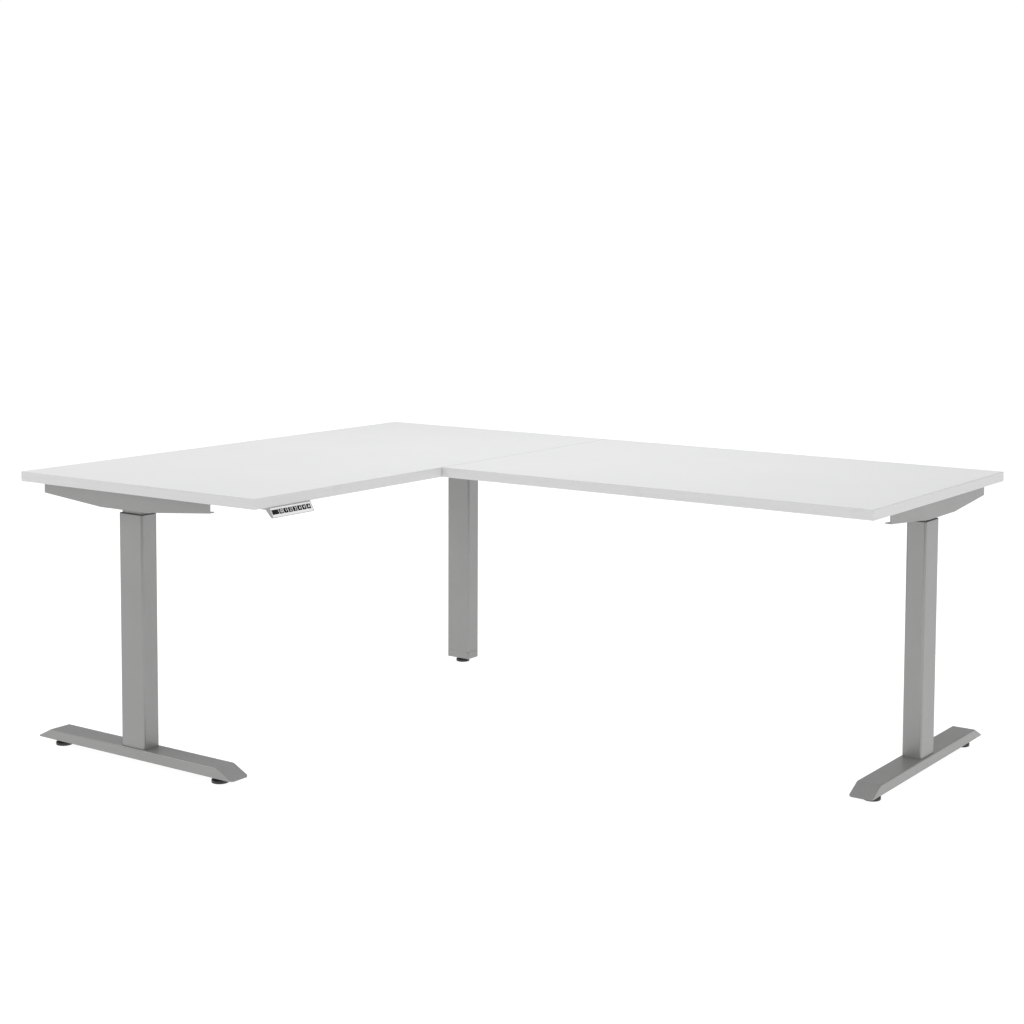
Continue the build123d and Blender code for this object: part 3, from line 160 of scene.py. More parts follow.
# ---------------------------------------------------------------- material building blocks
class Finish:
    """A procedural material: its node tree, its main shader, and short calls for common nodes."""

    def __init__(self, name, colour, roughness, metallic=0.0, **sockets):
        self.material = bpy.data.materials.new(name)
        self.material.use_nodes = True
        self.nodes = self.material.node_tree.nodes
        self.links = self.material.node_tree.links
        self.shader = self.nodes["Principled BSDF"]
        self.colour = (*colour, 1.0)
        self.roughness = roughness
        self.shader.inputs["Base Color"].default_value = self.colour
        self.shader.inputs["Roughness"].default_value = roughness
        self.shader.inputs["Metallic"].default_value = metallic
        for socket, value in sockets.items():
            self.shader.inputs[socket.replace("_", " ")].default_value = value
        self.place = self.nodes.new("ShaderNodeTexCoord").outputs["Object"]
        self.normal = None

    def height(self):
        """The object's own z, in metres."""
        node = self.nodes.new("ShaderNodeSeparateXYZ")
        self.links.new(self.place, node.inputs["Vector"])
        return node.outputs["Z"]

    def thread(self, pitch):
        """Bands across the z axis, one for each turn of a thread."""
        node = self.nodes.new("ShaderNodeTexWave")
        node.bands_direction = "Z"
        node.inputs["Scale"].default_value = math.pi / (10.0 * pitch)
        self.links.new(self.place, node.inputs["Vector"])
        return node.outputs["Fac"]

    def stretched(self, scale):
        """The object's coordinates, scaled by axis."""
        mapping = self.nodes.new("ShaderNodeMapping")
        mapping.inputs["Scale"].default_value = scale
        self.links.new(self.place, mapping.inputs["Vector"])
        return mapping.outputs["Vector"]

    def noise(self, scale, detail=3.0, rough=0.55, place=None):
        """Cloud noise; scale is in cycles per metre."""
        node = self.nodes.new("ShaderNodeTexNoise")
        node.inputs["Scale"].default_value = scale
        node.inputs["Detail"].default_value = detail
        node.inputs["Roughness"].default_value = rough
        self.links.new(place or self.place, node.inputs["Vector"])
        return node.outputs["Fac"]

    def cells(self, scale, place=None):
        """Distance to the nearest of scattered points."""
        node = self.nodes.new("ShaderNodeTexVoronoi")
        node.inputs["Scale"].default_value = scale
        self.links.new(place or self.place, node.inputs["Vector"])
        return node.outputs["Distance"]

    def band(self, value, low, high, out_low=0.0, out_high=1.0):
        """value from low to high, spread over the output range."""
        node = self.nodes.new("ShaderNodeMapRange")
        node.inputs["From Min"].default_value = low
        node.inputs["From Max"].default_value = high
        node.inputs["To Min"].default_value = out_low
        node.inputs["To Max"].default_value = out_high
        self.links.new(value, node.inputs["Value"])
        return node.outputs["Result"]

    def tint(self, factor, colour):
        """Mixes a second colour over what the base colour is so far."""
        node = self.nodes.new("ShaderNodeMix")
        node.data_type = "RGBA"
        base = self.shader.inputs["Base Color"]
        if base.is_linked:
            self.links.new(base.links[0].from_socket, node.inputs["A"])
        node.inputs["A"].default_value = self.colour
        node.inputs["B"].default_value = (*colour, 1.0)
        self.links.new(factor, node.inputs["Factor"])
        self.links.new(node.outputs["Result"], base)

    def vary_roughness(self, value, low, high, out_low, out_high):
        """Drives the roughness with a texture."""
        spread = self.band(value, low, high, out_low, out_high)
        self.links.new(spread, self.shader.inputs["Roughness"])

    def bump(self, height, distance, strength=1.0):
        """Adds relief; distance is in metres."""
        node = self.nodes.new("ShaderNodeBump")
        node.inputs["Distance"].default_value = distance
        node.inputs["Strength"].default_value = strength
        self.links.new(height, node.inputs["Height"])
        if self.normal is not None:
            self.links.new(self.normal, node.inputs["Normal"])
        self.normal = node.outputs["Normal"]
        self.links.new(self.normal, self.shader.inputs["Normal"])


# ---------------------------------------------------------------- materials
def white_board():
    """White melamine with a fine pearl texture."""
    finish = Finish("white_melamine", (0.79, 0.79, 0.795), 0.56, Specular_IOR_Level=0.3)
    finish.tint(finish.band(finish.noise(3.0, 4.0), 0.3, 0.75), (0.77, 0.772, 0.78))
    finish.tint(finish.band(finish.noise(900.0, 2.0), 0.55, 0.8, 0.0, 0.5), (0.73, 0.73, 0.74))
    finish.vary_roughness(finish.noise(260.0, 3.0), 0.3, 0.7, 0.50, 0.64)
    finish.bump(finish.noise(1100.0, 2.0), 0.00004, 0.5)
    return finish.material


def edging():
    """ABS edging, ironed on, with faint streaks along its length."""
    finish = Finish("abs_edging", (0.66, 0.66, 0.665), 0.40)
    streaks = finish.noise(60.0, 3.0, place=finish.stretched((0.05, 0.05, 12.0)))
    finish.tint(finish.band(streaks, 0.4, 0.8), (0.62, 0.62, 0.63))
    finish.tint(finish.band(finish.noise(14.0, 5.0), 0.62, 0.72, 0.0, 0.35), (0.58, 0.575, 0.57))
    finish.vary_roughness(finish.noise(300.0, 2.0), 0.3, 0.7, 0.34, 0.46)
    finish.bump(finish.noise(1400.0, 2.0), 0.00003, 0.4)
    return finish.material


def silver_coat():
    """Silver-grey powder coat: metal flakes under a fine orange peel."""
    finish = Finish("silver_powder_coat", (0.30, 0.30, 0.297), 0.34, 0.35, Specular_IOR_Level=0.45)
    finish.tint(finish.band(finish.noise(5.0, 4.0), 0.35, 0.75), (0.278, 0.278, 0.276))
    finish.tint(finish.band(finish.cells(2600.0), 0.05, 0.28, 0.7, 0.0), (0.40, 0.40, 0.395))
    finish.vary_roughness(finish.noise(420.0, 2.0), 0.3, 0.7, 0.29, 0.41)
    finish.bump(finish.noise(850.0, 2.0), 0.00006, 0.5)
    finish.bump(finish.noise(150.0, 1.0), 0.00010, 0.35)
    return finish.material


def zinc_steel():
    """Bright zinc plate with soft brushing and a little chromate haze."""
    finish = Finish("zinc_plated_steel", (0.60, 0.60, 0.62), 0.30, 1.0)
    finish.tint(finish.band(finish.noise(70.0, 4.0), 0.45, 0.75), (0.54, 0.55, 0.52))
    finish.vary_roughness(finish.noise(600.0, 3.0), 0.3, 0.7, 0.24, 0.40)
    finish.bump(finish.noise(900.0, 2.0), 0.00003, 0.4)
    return finish.material


def nut_brass():
    """Turned brass."""
    finish = Finish("turned_brass", (0.72, 0.56, 0.28), 0.28, 1.0)
    finish.bump(finish.noise(40.0, 1.0, place=finish.stretched((1.0, 1.0, 90.0))), 0.00004, 0.6)
    finish.vary_roughness(finish.noise(300.0), 0.3, 0.7, 0.22, 0.36)
    return finish.material


def guide_plastic():
    """Dark acetal guides with moulding grain."""
    finish = Finish("dark_acetal", (0.045, 0.045, 0.047), 0.45)
    finish.tint(finish.band(finish.noise(120.0), 0.4, 0.8), (0.06, 0.06, 0.06))
    finish.vary_roughness(finish.noise(500.0), 0.3, 0.7, 0.38, 0.55)
    finish.bump(finish.noise(1500.0), 0.00003, 0.5)
    return finish.material


def glide_plastic():
    """Black moulded glides, scuffed dull near the floor, on zinc plated threaded studs."""
    finish = Finish("black_glide_plastic", (0.018, 0.018, 0.018), 0.38)
    finish.tint(finish.band(finish.noise(260.0, 4.0), 0.55, 0.75, 0.0, 0.5), (0.05, 0.05, 0.048))
    finish.tint(finish.band(finish.height(), 0.003, 0.0, 0.0, 0.6), (0.07, 0.068, 0.064))
    on_stud = finish.band(finish.height(), GLIDE_TOP, GLIDE_TOP + 0.1 * MM)
    finish.tint(on_stud, (0.58, 0.58, 0.60))
    finish.links.new(on_stud, finish.shader.inputs["Metallic"])
    finish.vary_roughness(finish.noise(420.0), 0.3, 0.7, 0.30, 0.50)
    finish.bump(finish.noise(1300.0), 0.00004, 0.5)
    finish.bump(finish.thread(1.25 * MM), 0.0003, 0.5)
    finish.links.new(on_stud, finish.normal.node.inputs["Strength"])
    return finish.material


def threaded_spindle():
    """Rolled steel thread with a film of grease."""
    finish = Finish("rolled_steel_thread", (0.50, 0.50, 0.51), 0.26, 1.0)
    finish.tint(finish.band(finish.noise(55.0, 4.0), 0.4, 0.75), (0.40, 0.39, 0.36))
    finish.vary_roughness(finish.noise(240.0, 3.0), 0.3, 0.7, 0.18, 0.36)
    finish.bump(finish.thread(4.0 * MM), 0.0009, 0.8)
    return finish.material


def key_print():
    """White print on the keys, a little uneven."""
    finish = Finish("white_key_print", (0.90, 0.90, 0.90), 0.5)
    finish.tint(finish.band(finish.noise(900.0), 0.45, 0.8), (0.84, 0.84, 0.85))
    finish.vary_roughness(finish.noise(1200.0), 0.3, 0.7, 0.42, 0.60)
    finish.bump(finish.noise(2400.0), 0.00001, 0.5)
    return finish.material


def unlit_segment():
    """Segments of the display, switched off."""
    finish = Finish("unlit_segment", (0.030, 0.030, 0.032), 0.25)
    finish.tint(finish.band(finish.noise(700.0), 0.4, 0.8), (0.024, 0.024, 0.026))
    finish.vary_roughness(finish.noise(900.0), 0.3, 0.7, 0.18, 0.34)
    return finish.material


def status_light():
    """Green lens of the status light, not lit."""
    finish = Finish("green_lens", (0.03, 0.16, 0.05), 0.14)
    finish.tint(finish.band(finish.noise(900.0), 0.4, 0.8), (0.05, 0.22, 0.08))
    finish.vary_roughness(finish.noise(1100.0), 0.3, 0.7, 0.10, 0.22)
    return finish.material


def recess_painted_shade():
    """Painted shade for a screw's cross recess: a dark mark on the head where the recess would lie
    in shade.
    """
    finish = Finish("painted_shade_in_recess", (0.035, 0.035, 0.034), 0.55, 0.4)
    finish.tint(finish.band(finish.noise(800.0), 0.4, 0.8), (0.060, 0.058, 0.054))
    finish.vary_roughness(finish.noise(1500.0), 0.3, 0.7, 0.45, 0.65)
    return finish.material


def cast_housing():
    """Sand-grey die casting."""
    finish = Finish("die_cast_aluminium", (0.42, 0.42, 0.43), 0.50, 0.85)
    finish.tint(finish.band(finish.noise(90.0, 5.0), 0.4, 0.8), (0.35, 0.35, 0.36))
    finish.vary_roughness(finish.noise(380.0, 3.0), 0.3, 0.7, 0.42, 0.62)
    finish.bump(finish.noise(700.0, 3.0), 0.00012, 0.7)
    return finish.material


def motor_coat():
    """Black paint on the motor's drawn can."""
    finish = Finish("black_motor_paint", (0.022, 0.022, 0.023), 0.34)
    finish.tint(finish.band(finish.noise(200.0), 0.5, 0.8), (0.034, 0.034, 0.035))
    finish.vary_roughness(finish.noise(350.0), 0.3, 0.7, 0.28, 0.44)
    finish.bump(finish.noise(1000.0), 0.00004, 0.5)
    return finish.material


def box_plastic():
    """Black moulded plastic with a spark-eroded texture."""
    finish = Finish("black_box_plastic", (0.022, 0.022, 0.023), 0.52)
    finish.tint(finish.band(finish.noise(40.0, 4.0), 0.4, 0.8), (0.032, 0.032, 0.033))
    finish.vary_roughness(finish.noise(600.0), 0.3, 0.7, 0.45, 0.62)
    finish.bump(finish.cells(1400.0), 0.00008, 0.6)
    return finish.material


def cable_sheath():
    """Black PVC sheath with a slight ripple."""
    finish = Finish("black_cable_sheath", (0.02, 0.02, 0.02), 0.44)
    finish.tint(finish.band(finish.noise(80.0), 0.5, 0.8), (0.03, 0.03, 0.031))
    finish.vary_roughness(finish.noise(300.0), 0.3, 0.7, 0.38, 0.52)
    finish.bump(finish.noise(500.0), 0.00006, 0.4)
    return finish.material


def handset_plastic():
    """Grey moulding with a satin grain."""
    finish = Finish("grey_handset_plastic", (0.36, 0.36, 0.362), 0.42)
    finish.tint(finish.band(finish.noise(500.0), 0.5, 0.8, 0.0, 0.6), (0.32, 0.32, 0.324))
    finish.vary_roughness(finish.noise(700.0), 0.3, 0.7, 0.30, 0.42)
    finish.bump(finish.noise(2200.0), 0.00002, 0.5)
    return finish.material


def face_film():
    """White printed film on the handset's face."""
    finish = Finish("white_face_film", (0.86, 0.86, 0.86), 0.34)
    finish.tint(finish.band(finish.noise(400.0), 0.5, 0.8, 0.0, 0.6), (0.82, 0.82, 0.825))
    finish.vary_roughness(finish.noise(700.0), 0.3, 0.7, 0.28, 0.42)
    finish.bump(finish.noise(2000.0), 0.00001, 0.5)
    return finish.material


def display_window():
    """Smoked window, glossy, with faint fingerprints."""
    finish = Finish("smoked_window", (0.004, 0.004, 0.005), 0.12, Specular_IOR_Level=0.12)
    finish.tint(finish.band(finish.noise(300.0), 0.5, 0.9), (0.008, 0.008, 0.009))
    finish.vary_roughness(finish.noise(180.0, 4.0), 0.45, 0.75, 0.08, 0.22)
    return finish.material


def button_plastic():
    """Black keys, polished on top."""
    finish = Finish("black_key_plastic", (0.005, 0.005, 0.005), 0.36, Specular_IOR_Level=0.12)
    finish.tint(finish.band(finish.noise(400.0), 0.5, 0.8), (0.010, 0.010, 0.010))
    finish.vary_roughness(finish.noise(600.0), 0.3, 0.7, 0.30, 0.46)
    finish.bump(finish.noise(1800.0), 0.00002, 0.5)
    return finish.material


FINISHES = {
    "white_board": white_board(),
    "edging": edging(),
    "silver_coat": silver_coat(),
    "zinc_steel": zinc_steel(),
    "nut_brass": nut_brass(),
    "guide_plastic": guide_plastic(),
    "glide_plastic": glide_plastic(),
    "cast_housing": cast_housing(),
    "motor_coat": motor_coat(),
    "box_plastic": box_plastic(),
    "cable_sheath": cable_sheath(),
    "handset_plastic": handset_plastic(),
    "display_window": display_window(),
    "button_plastic": button_plastic(),
}
SPINDLE_FINISH = threaded_spindle()
PRINT_FINISH = key_print()
SEGMENT_FINISH = unlit_segment()
FILM_FINISH = face_film()
LENS_FINISH = status_light()
# painted shade for the screws' cross recesses
PAINTED_RECESS_SHADE = recess_painted_shade()


# ---------------------------------------------------------------- finish of the CAD nodes
EDGE_ROUNDING = {  # of sharp edges, by material slot
    "silver_coat": 0.7 * MM,
    "zinc_steel": 0.4 * MM,
    "nut_brass": 0.3 * MM,
    "guide_plastic": 0.3 * MM,
    "cast_housing": 0.8 * MM,
    "motor_coat": 0.8 * MM,
    "box_plastic": 0.6 * MM,
    "handset_plastic": 0.5 * MM,
    "display_window": 0.25 * MM,
    "button_plastic": 0.2 * MM,
}


def round_edges(piece, width):
    """Welds the mesh, dissolves flat facets and rounds its sharp edges."""
    weld = piece.modifiers.new("weld", "WELD")
    weld.merge_threshold = 0.001 * MM
    flatten = piece.modifiers.new("flatten", "DECIMATE")
    flatten.decimate_type = "DISSOLVE"
    flatten.angle_limit = math.radians(0.5)
    bevel = piece.modifiers.new("bevel", "BEVEL")
    bevel.width = width
    bevel.segments = 2
    bevel.limit_method = "ANGLE"
    bevel.angle_limit = math.radians(35)
    bevel.harden_normals = True


def finish_nodes():
    """Gives each CAD node the finish of its material slot, or the thread finish for a spindle, and
    rounds the sharp edges of the nodes whose slot EDGE_ROUNDING lists.
    """
    for entry in frame["record"]["subparts"]:
        node = NODES[entry["node"]]
        slot = entry["material_slot"]
        is_spindle = entry["node"].endswith("_spindle")
        node.data.materials.clear()
        node.data.materials.append(SPINDLE_FINISH if is_spindle else FINISHES[slot])
        if slot in EDGE_ROUNDING:
            round_edges(node, EDGE_ROUNDING[slot])


finish_nodes()


# ---------------------------------------------------------------- mesh building blocks
def middle(node):
    """The centre of a CAD node's box."""
    low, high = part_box(node)
    return (Vector(low) + Vector(high)) / 2


def face_middle(node, outward):
    """The centre of the flat face of a CAD node that points outward."""
    spots = [vertex.co for vertex in NODES[node].data.vertices]
    reach = max(spot.dot(outward) for spot in spots)
    on_face = [spot for spot in spots if reach - spot.dot(outward) < 0.02 * MM]
    low = Vector([min(spot[axis] for spot in on_face) for axis in range(3)])
    high = Vector([max(spot[axis] for spot in on_face) for axis in range(3)])
    return (low + high) / 2


def axes_at(origin, across, outward):
    """Matrix of a drawing plane: x runs across, z points outward."""
    across, outward = Vector(across), Vector(outward)
    turn = Matrix((across, outward.cross(across), outward)).transposed()
    return Matrix.Translation(origin) @ turn.to_4x4()


def arc(centre, radius, start, end, steps=10):
    """Points along an arc, angles in degrees."""
    angles = [math.radians(start + (end - start) * step / steps) for step in range(steps + 1)]
    return [(centre[0] + radius * math.cos(a), centre[1] + radius * math.sin(a)) for a in angles]


def offsets(points, half_width, closed):
    """Left and right edge of a stroke, mitred at its corners."""
    count = len(points)
    sides = []
    for index, point in enumerate(points):
        spot = Vector(point)
        runs = []
        if closed or index > 0:
            runs.append((spot - Vector(points[index - 1])).normalized())
        if closed or index < count - 1:
            runs.append((Vector(points[(index + 1) % count]) - spot).normalized())
        normals = [Vector((-run.y, run.x)) for run in runs]
        mitre = sum(normals, Vector((0, 0))).normalized()
        reach = half_width / max(mitre.dot(normals[0]), 0.5)
        sides.append((spot + mitre * reach, spot - mitre * reach))
    return sides


def add_stroke(mesh, plane, points, width, low, high, closed=False):
    """A strip along a line drawn in a plane, from height low to height high."""
    rings = []
    for left, right in offsets(points, width / 2, closed):
        corners = [(left, low), (right, low), (right, high), (left, high)]
        rings.append([mesh.verts.new(plane @ Vector((*flat, height))) for flat, height in corners])
    pairs = list(zip(rings, rings[1:]))
    if closed:
        pairs.append((rings[-1], rings[0]))
    for before, after in pairs:
        for side in range(4):
            turn = (side + 1) % 4
            mesh.faces.new((before[side], before[turn], after[turn], after[side]))
    if not closed:
        mesh.faces.new(reversed(rings[0]))
        mesh.faces.new(rings[-1])


def add_turned(mesh, plane, profile, steps=32):
    """A turned shape, closed at both ends: profile is (height, radius) from end to end."""
    rings = []
    for height, radius in profile:
        circle = arc((0, 0), radius, 0, 360, steps)[:-1]
        rings.append([mesh.verts.new(plane @ Vector((*flat, height))) for flat in circle])
    for before, after in zip(rings, rings[1:]):
        for step in range(steps):
            turn = (step + 1) % steps
            mesh.faces.new((before[step], before[turn], after[turn], after[step]))
    mesh.faces.new(reversed(rings[0]))
    mesh.faces.new(rings[-1])


def add_ring(mesh, plane, section, steps=48):
    """A turned ring: section is a closed outline of (height, radius)."""
    loops = []
    for step in range(steps):
        turn = 2 * math.pi * step / steps
        across, up = math.cos(turn), math.sin(turn)
        spots = [(radius * across, radius * up, height) for height, radius in section]
        loops.append([mesh.verts.new(plane @ Vector(spot)) for spot in spots])
    for index, before in enumerate(loops):
        after = loops[(index + 1) % steps]
        for corner in range(len(section)):
            turn = (corner + 1) % len(section)
            mesh.faces.new((before[corner], before[turn], after[turn], after[corner]))


def add_plate(mesh, plane, size, corner, low, high):
    """A plate with rounded corners, drawn in a plane."""
    half_x, half_y = size[0] / 2 - corner, size[1] / 2 - corner
    outline = []
    for quarter, (side_x, side_y) in enumerate(((1, 1), (-1, 1), (-1, -1), (1, -1))):
        centre = (side_x * half_x, side_y * half_y)
        outline += arc(centre, corner, 90 * quarter, 90 * quarter + 90, 5)
    bottom = [mesh.verts.new(plane @ Vector((*flat, low))) for flat in outline]
    top = [mesh.verts.new(plane @ Vector((*flat, high))) for flat in outline]
    mesh.faces.new(reversed(bottom))
    mesh.faces.new(top)
    for index, start in enumerate(bottom):
        turn = (index + 1) % len(bottom)
        mesh.faces.new((start, bottom[turn], top[turn], top[index]))


def add_pierced_plate(mesh, plane, xs, ys, windows, low, high):
    """A plate on a grid of lines, with windows in the cells named by (column, row)."""
    grid = {}
    for column, x in enumerate(xs):
        for row, y in enumerate(ys):
            for height in (low, high):
                grid[column, row, height] = mesh.verts.new(plane @ Vector((x, y, height)))
    cells = [(column, row) for column in range(len(xs) - 1) for row in range(len(ys) - 1)]
    solid = [cell for cell in cells if cell not in windows]
    for column, row in solid:
        corners = ((column, row), (column + 1, row), (column + 1, row + 1), (column, row + 1))
        beside = ((column, row - 1), (column + 1, row), (column, row + 1), (column - 1, row))
        mesh.faces.new([grid[(*corner, high)] for corner in corners])
        mesh.faces.new([grid[(*corner, low)] for corner in reversed(corners)])
        for side, neighbour in enumerate(beside):
            if neighbour in solid:
                continue
            start, end = corners[side], corners[(side + 1) % 4]
            outline = ((start, low), (end, low), (end, high), (start, high))
            mesh.faces.new([grid[(*corner, height)] for corner, height in outline])


def make_piece(name, mesh, body, material, rounding=None, smooth=True):
    """Turns a bmesh into a piece that rides on a body."""
    bmesh.ops.recalc_face_normals(mesh, faces=mesh.faces)
    data = bpy.data.meshes.new(name)
    mesh.to_mesh(data)
    mesh.free()
    piece = bpy.data.objects.new(name, data)
    bpy.context.scene.collection.objects.link(piece)
    data.materials.append(material)
    if smooth:
        data.shade_smooth()
        data.set_sharp_from_angle(angle=math.radians(35))
    if rounding:
        round_edges(piece, rounding)
    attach(piece, body)


def slot_piece(name, mesh, body, slot, rounding=None):
    """A piece with the finish of one of the record's material slots."""
    make_piece(name, mesh, body, FINISHES[slot], rounding)


def islands(node):
    """Box of each separate solid in a CAD node's mesh."""
    mesh = bmesh.new()
    mesh.from_mesh(NODES[node].data)
    bmesh.ops.remove_doubles(mesh, verts=mesh.verts, dist=0.001 * MM)
    boxes, seen = [], set()
    for first in mesh.verts:
        if first.index in seen:
            continue
        seen.add(first.index)
        found, spots = [first], []
        while found:
            vertex = found.pop()
            spots.append(vertex.co.copy())
            for edge in vertex.link_edges:
                other = edge.other_vert(vertex)
                if other.index not in seen:
                    seen.add(other.index)
                    found.append(other)
        low = Vector([min(spot[axis] for spot in spots) for axis in range(3)])
        high = Vector([max(spot[axis] for spot in spots) for axis in range(3)])
        boxes.append((low, high))
    mesh.free()
    return boxes


# ---------------------------------------------------------------- handset
PRESS = {
    joint["name"].removesuffix("_press"): -Vector(joint["axis"])
    for joint in frame["record"]["behaviour"]["joints"]
    if joint["name"].endswith("_press")
}
ICON_WIDTH = 1.3 * MM
ICON_SCALE = 1.2
PRINT_HEIGHT = 0.06 * MM
PRINT_LAYER = 0.01 * MM  # a stroke that crosses another lies this much higher
ARROW = ((-2.3, -1.6), (2.3, -1.6), (0.0, 2.2))
ICONS = {  # strokes in millimetres on the face of the key, and whether they close
    "memory_button": (
        (((-2.4, -2.4), (2.4, -2.4), (2.4, 2.4), (-2.4, 2.4)), True),
        (((-1.0, -0.2), (1.0, -0.2)), False),
    ),
    "preset_1_button": ((((-1.1, 1.6), (0.3, 2.8), (0.3, -2.8)), False),),
    "preset_2_button": (
        ((*arc((0.0, 1.2), 1.6, 165, -40), (-1.7, -2.5), (1.8, -2.5)), False),
    ),
    "preset_3_button": (
        (tuple(arc((0.0, 1.35), 1.35, 155, -80)), False),
        (tuple(arc((0.0, -1.35), 1.55, 75, -155)), False),
    ),
    "preset_4_button": (
        (((0.9, -2.8), (0.9, 2.8), (-1.8, -1.0)), False),
        (((-1.8, -1.0), (2.0, -1.0)), False),
    ),
    "down_button": ((tuple((x, -y) for x, y in reversed(ARROW)), True),),
    "up_button": ((ARROW, True),),
}
for button, strokes in ICONS.items():
    outward = PRESS[button]
    plane = axes_at(face_middle(button, outward), (0, 1, 0), outward)
    icon = bmesh.new()
    for layer, (points, closed) in enumerate(strokes):
        scaled = [(x * ICON_SCALE * MM, y * ICON_SCALE * MM) for x, y in points]
        height = PRINT_HEIGHT + layer * PRINT_LAYER
        add_stroke(icon, plane, scaled, ICON_WIDTH, -height, height, closed)
    make_piece(button.replace("_button", "_icon"), icon, f"{button}_body", PRINT_FINISH)

KEY_PROUD = 1.2 * MM  # of the face of the case
FILM_THICKNESS = 0.25 * MM
FILM_END = 2.4 * MM  # from each end of the case
FILM_RISE = (-12.5 * MM, 10.6 * MM)  # its edges, from the middle of the keys
KEY_HALF_HEIGHT = 5.65 * MM
KEY_GAP = 0.3 * MM
outward = PRESS["up_button"]
case_low, case_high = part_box("handset_case")
keys = ["handset_display", *sorted(ICONS, key=lambda name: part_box(name)[0][1])]
key_middle = face_middle("up_button", outward)
face_lines = [case_low[1] + FILM_END]
for key in keys:
    key_low, key_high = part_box(key)
    face_lines += [key_low[1] - KEY_GAP, key_high[1] + KEY_GAP]
face_lines.append(case_high[1] - FILM_END)
face_spot = Vector((key_middle.x, 0.0, key_middle.z)) - outward * KEY_PROUD
face_plane = axes_at(face_spot, (0, 1, 0), outward)
window_half = KEY_HALF_HEIGHT + KEY_GAP
rows = (FILM_RISE[0], -window_half, window_half, FILM_RISE[1])
windows = [(2 * index + 1, 1) for index in range(len(keys))]
film = bmesh.new()
add_pierced_plate(film, face_plane, face_lines, rows, windows, -FILM_THICKNESS, FILM_THICKNESS)
make_piece("handset_face_film", film, "desktop", FILM_FINISH, rounding=0.1 * MM)

SEGMENT = (3.2 * MM, 3.2 * MM)  # length across, length up
SEGMENT_WIDTH = 0.8 * MM
SEGMENT_GAP = 0.7 * MM  # from the corner where two segments would meet
DIGIT_PITCH = 6.0 * MM


def digit_segments(shift):
    """The seven strokes of one digit."""
    across, up = SEGMENT
    gap = SEGMENT_GAP
    left, right = shift - across / 2, shift + across / 2
    level = [((left + gap, row * up), (right - gap, row * up)) for row in (-1, 0, 1)]
    upright = [
        ((side, row * up + gap), (side, (row + 1) * up - gap))
        for side in (left, right)
        for row in (-1, 0)
    ]
    return level + upright


display_plane = axes_at(face_middle("handset_display", outward), (0, 1, 0), outward)
segments = bmesh.new()
for place in (-1, 0, 1):
    for points in digit_segments(place * DIGIT_PITCH):
        add_stroke(segments, display_plane, points, SEGMENT_WIDTH, -PRINT_HEIGHT, PRINT_HEIGHT / 2)
make_piece("display_segments", segments, "desktop", SEGMENT_FINISH)


# ---------------------------------------------------------------- screws and bolts
CROSS_REACH = 1.7 * MM
CROSS_WIDTH = 0.9 * MM
CROSS_HEIGHTS = (-0.3 * MM, 0.03 * MM)


def cross_lines(reach):
    """The two lines of a cross recess."""
    return ((-reach, 0), (reach, 0)), ((0, -reach), (0, reach))


# Dark crosses on the heads of the top screws: painted shade where their cross recesses would be.
recess_shade_marks = bmesh.new()
for low, high in islands("top_screws"):
    spot = ((low.x + high.x) / 2, (low.y + high.y) / 2, low.z)
    under = axes_at(spot, (1, 0, 0), (0, 0, -1))
    for points in cross_lines(CROSS_REACH):
        add_stroke(recess_shade_marks, under, points, CROSS_WIDTH, *CROSS_HEIGHTS)
make_piece("screw_recess_shade_marks", recess_shade_marks, "desktop", PAINTED_RECESS_SHADE)

FLANGE_RADIUS = 7.2 * MM
FLANGE_PROFILE = ((0.0, FLANGE_RADIUS), (0.5 * MM, FLANGE_RADIUS), (1.3 * MM, 5.4 * MM))
DISH_PROFILE = (
    (-0.2 * MM, 3.4 * MM),
    (0.0, 3.4 * MM),
    (0.25 * MM, 3.0 * MM),
    (0.25 * MM, 0.4 * MM),
)
BOLT_DROP = 3.0 * MM  # below the corner bracket, at least, for a bolt that hangs down
SHORT_BOLT = 20.0 * MM
PLATE_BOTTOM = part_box("corner_bracket")[0][2]
flanges = bmesh.new()
marks = bmesh.new()
for low, high in islands("frame_bolts"):
    if low.z >= PLATE_BOTTOM - BOLT_DROP or high.z - low.z >= SHORT_BOLT:
        continue
    spot = Vector(((low.x + high.x) / 2, (low.y + high.y) / 2, PLATE_BOTTOM))
    under = axes_at(spot, (1, 0, 0), (0, 0, -1))
    add_turned(flanges, under, FLANGE_PROFILE)
    head = axes_at(Vector((spot.x, spot.y, low.z)), (1, 0, 0), (0, 0, -1))
    add_turned(marks, head, DISH_PROFILE)
slot_piece("bolt_flanges", flanges, "desktop", "zinc_steel", 0.15 * MM)
slot_piece("bolt_head_faces", marks, "desktop", "zinc_steel", 0.1 * MM)


# ---------------------------------------------------------------- control box
PLUG_SECTION = [  # height along the cable, radius
    (0.0, 3.1), (26.0, 3.1), (26.0, 3.7), (20.0, 3.9), (20.0, 4.6), (18.0, 4.6),
    (18.0, 4.0), (16.0, 4.1), (16.0, 4.9), (14.0, 4.9), (14.0, 4.2), (12.0, 4.3),
    (11.0, 6.4), (2.0, 6.6), (2.0, 7.4), (0.0, 7.4),
]
GLAND_SECTION = [
    (0.0, 3.1), (15.0, 3.1), (15.0, 3.6), (9.0, 4.0),
    (8.0, 6.0), (4.0, 6.0), (4.0, 7.2), (0.0, 7.2),
]
RELIEF_SECTION = [(0.0, 2.35), (6.0, 2.35), (6.0, 2.8), (0.0, 3.3)]
CABLE_RADIUS = 3.0 * MM
HANDSET_CABLE_RADIUS = 2.25 * MM
box_low, box_high = (Vector(corner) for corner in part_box("control_box"))
BOX_BODY_TOP = 672.0 * MM
BOX_TAB = 18.0 * MM  # at each end, beyond the box
box_low.y += BOX_TAB
box_high.y -= BOX_TAB
BOX_MIDDLE = (box_low + box_high) / 2


def in_metres(section):
    """An outline given in millimetres."""
    return [(height * MM, radius * MM) for height, radius in section]


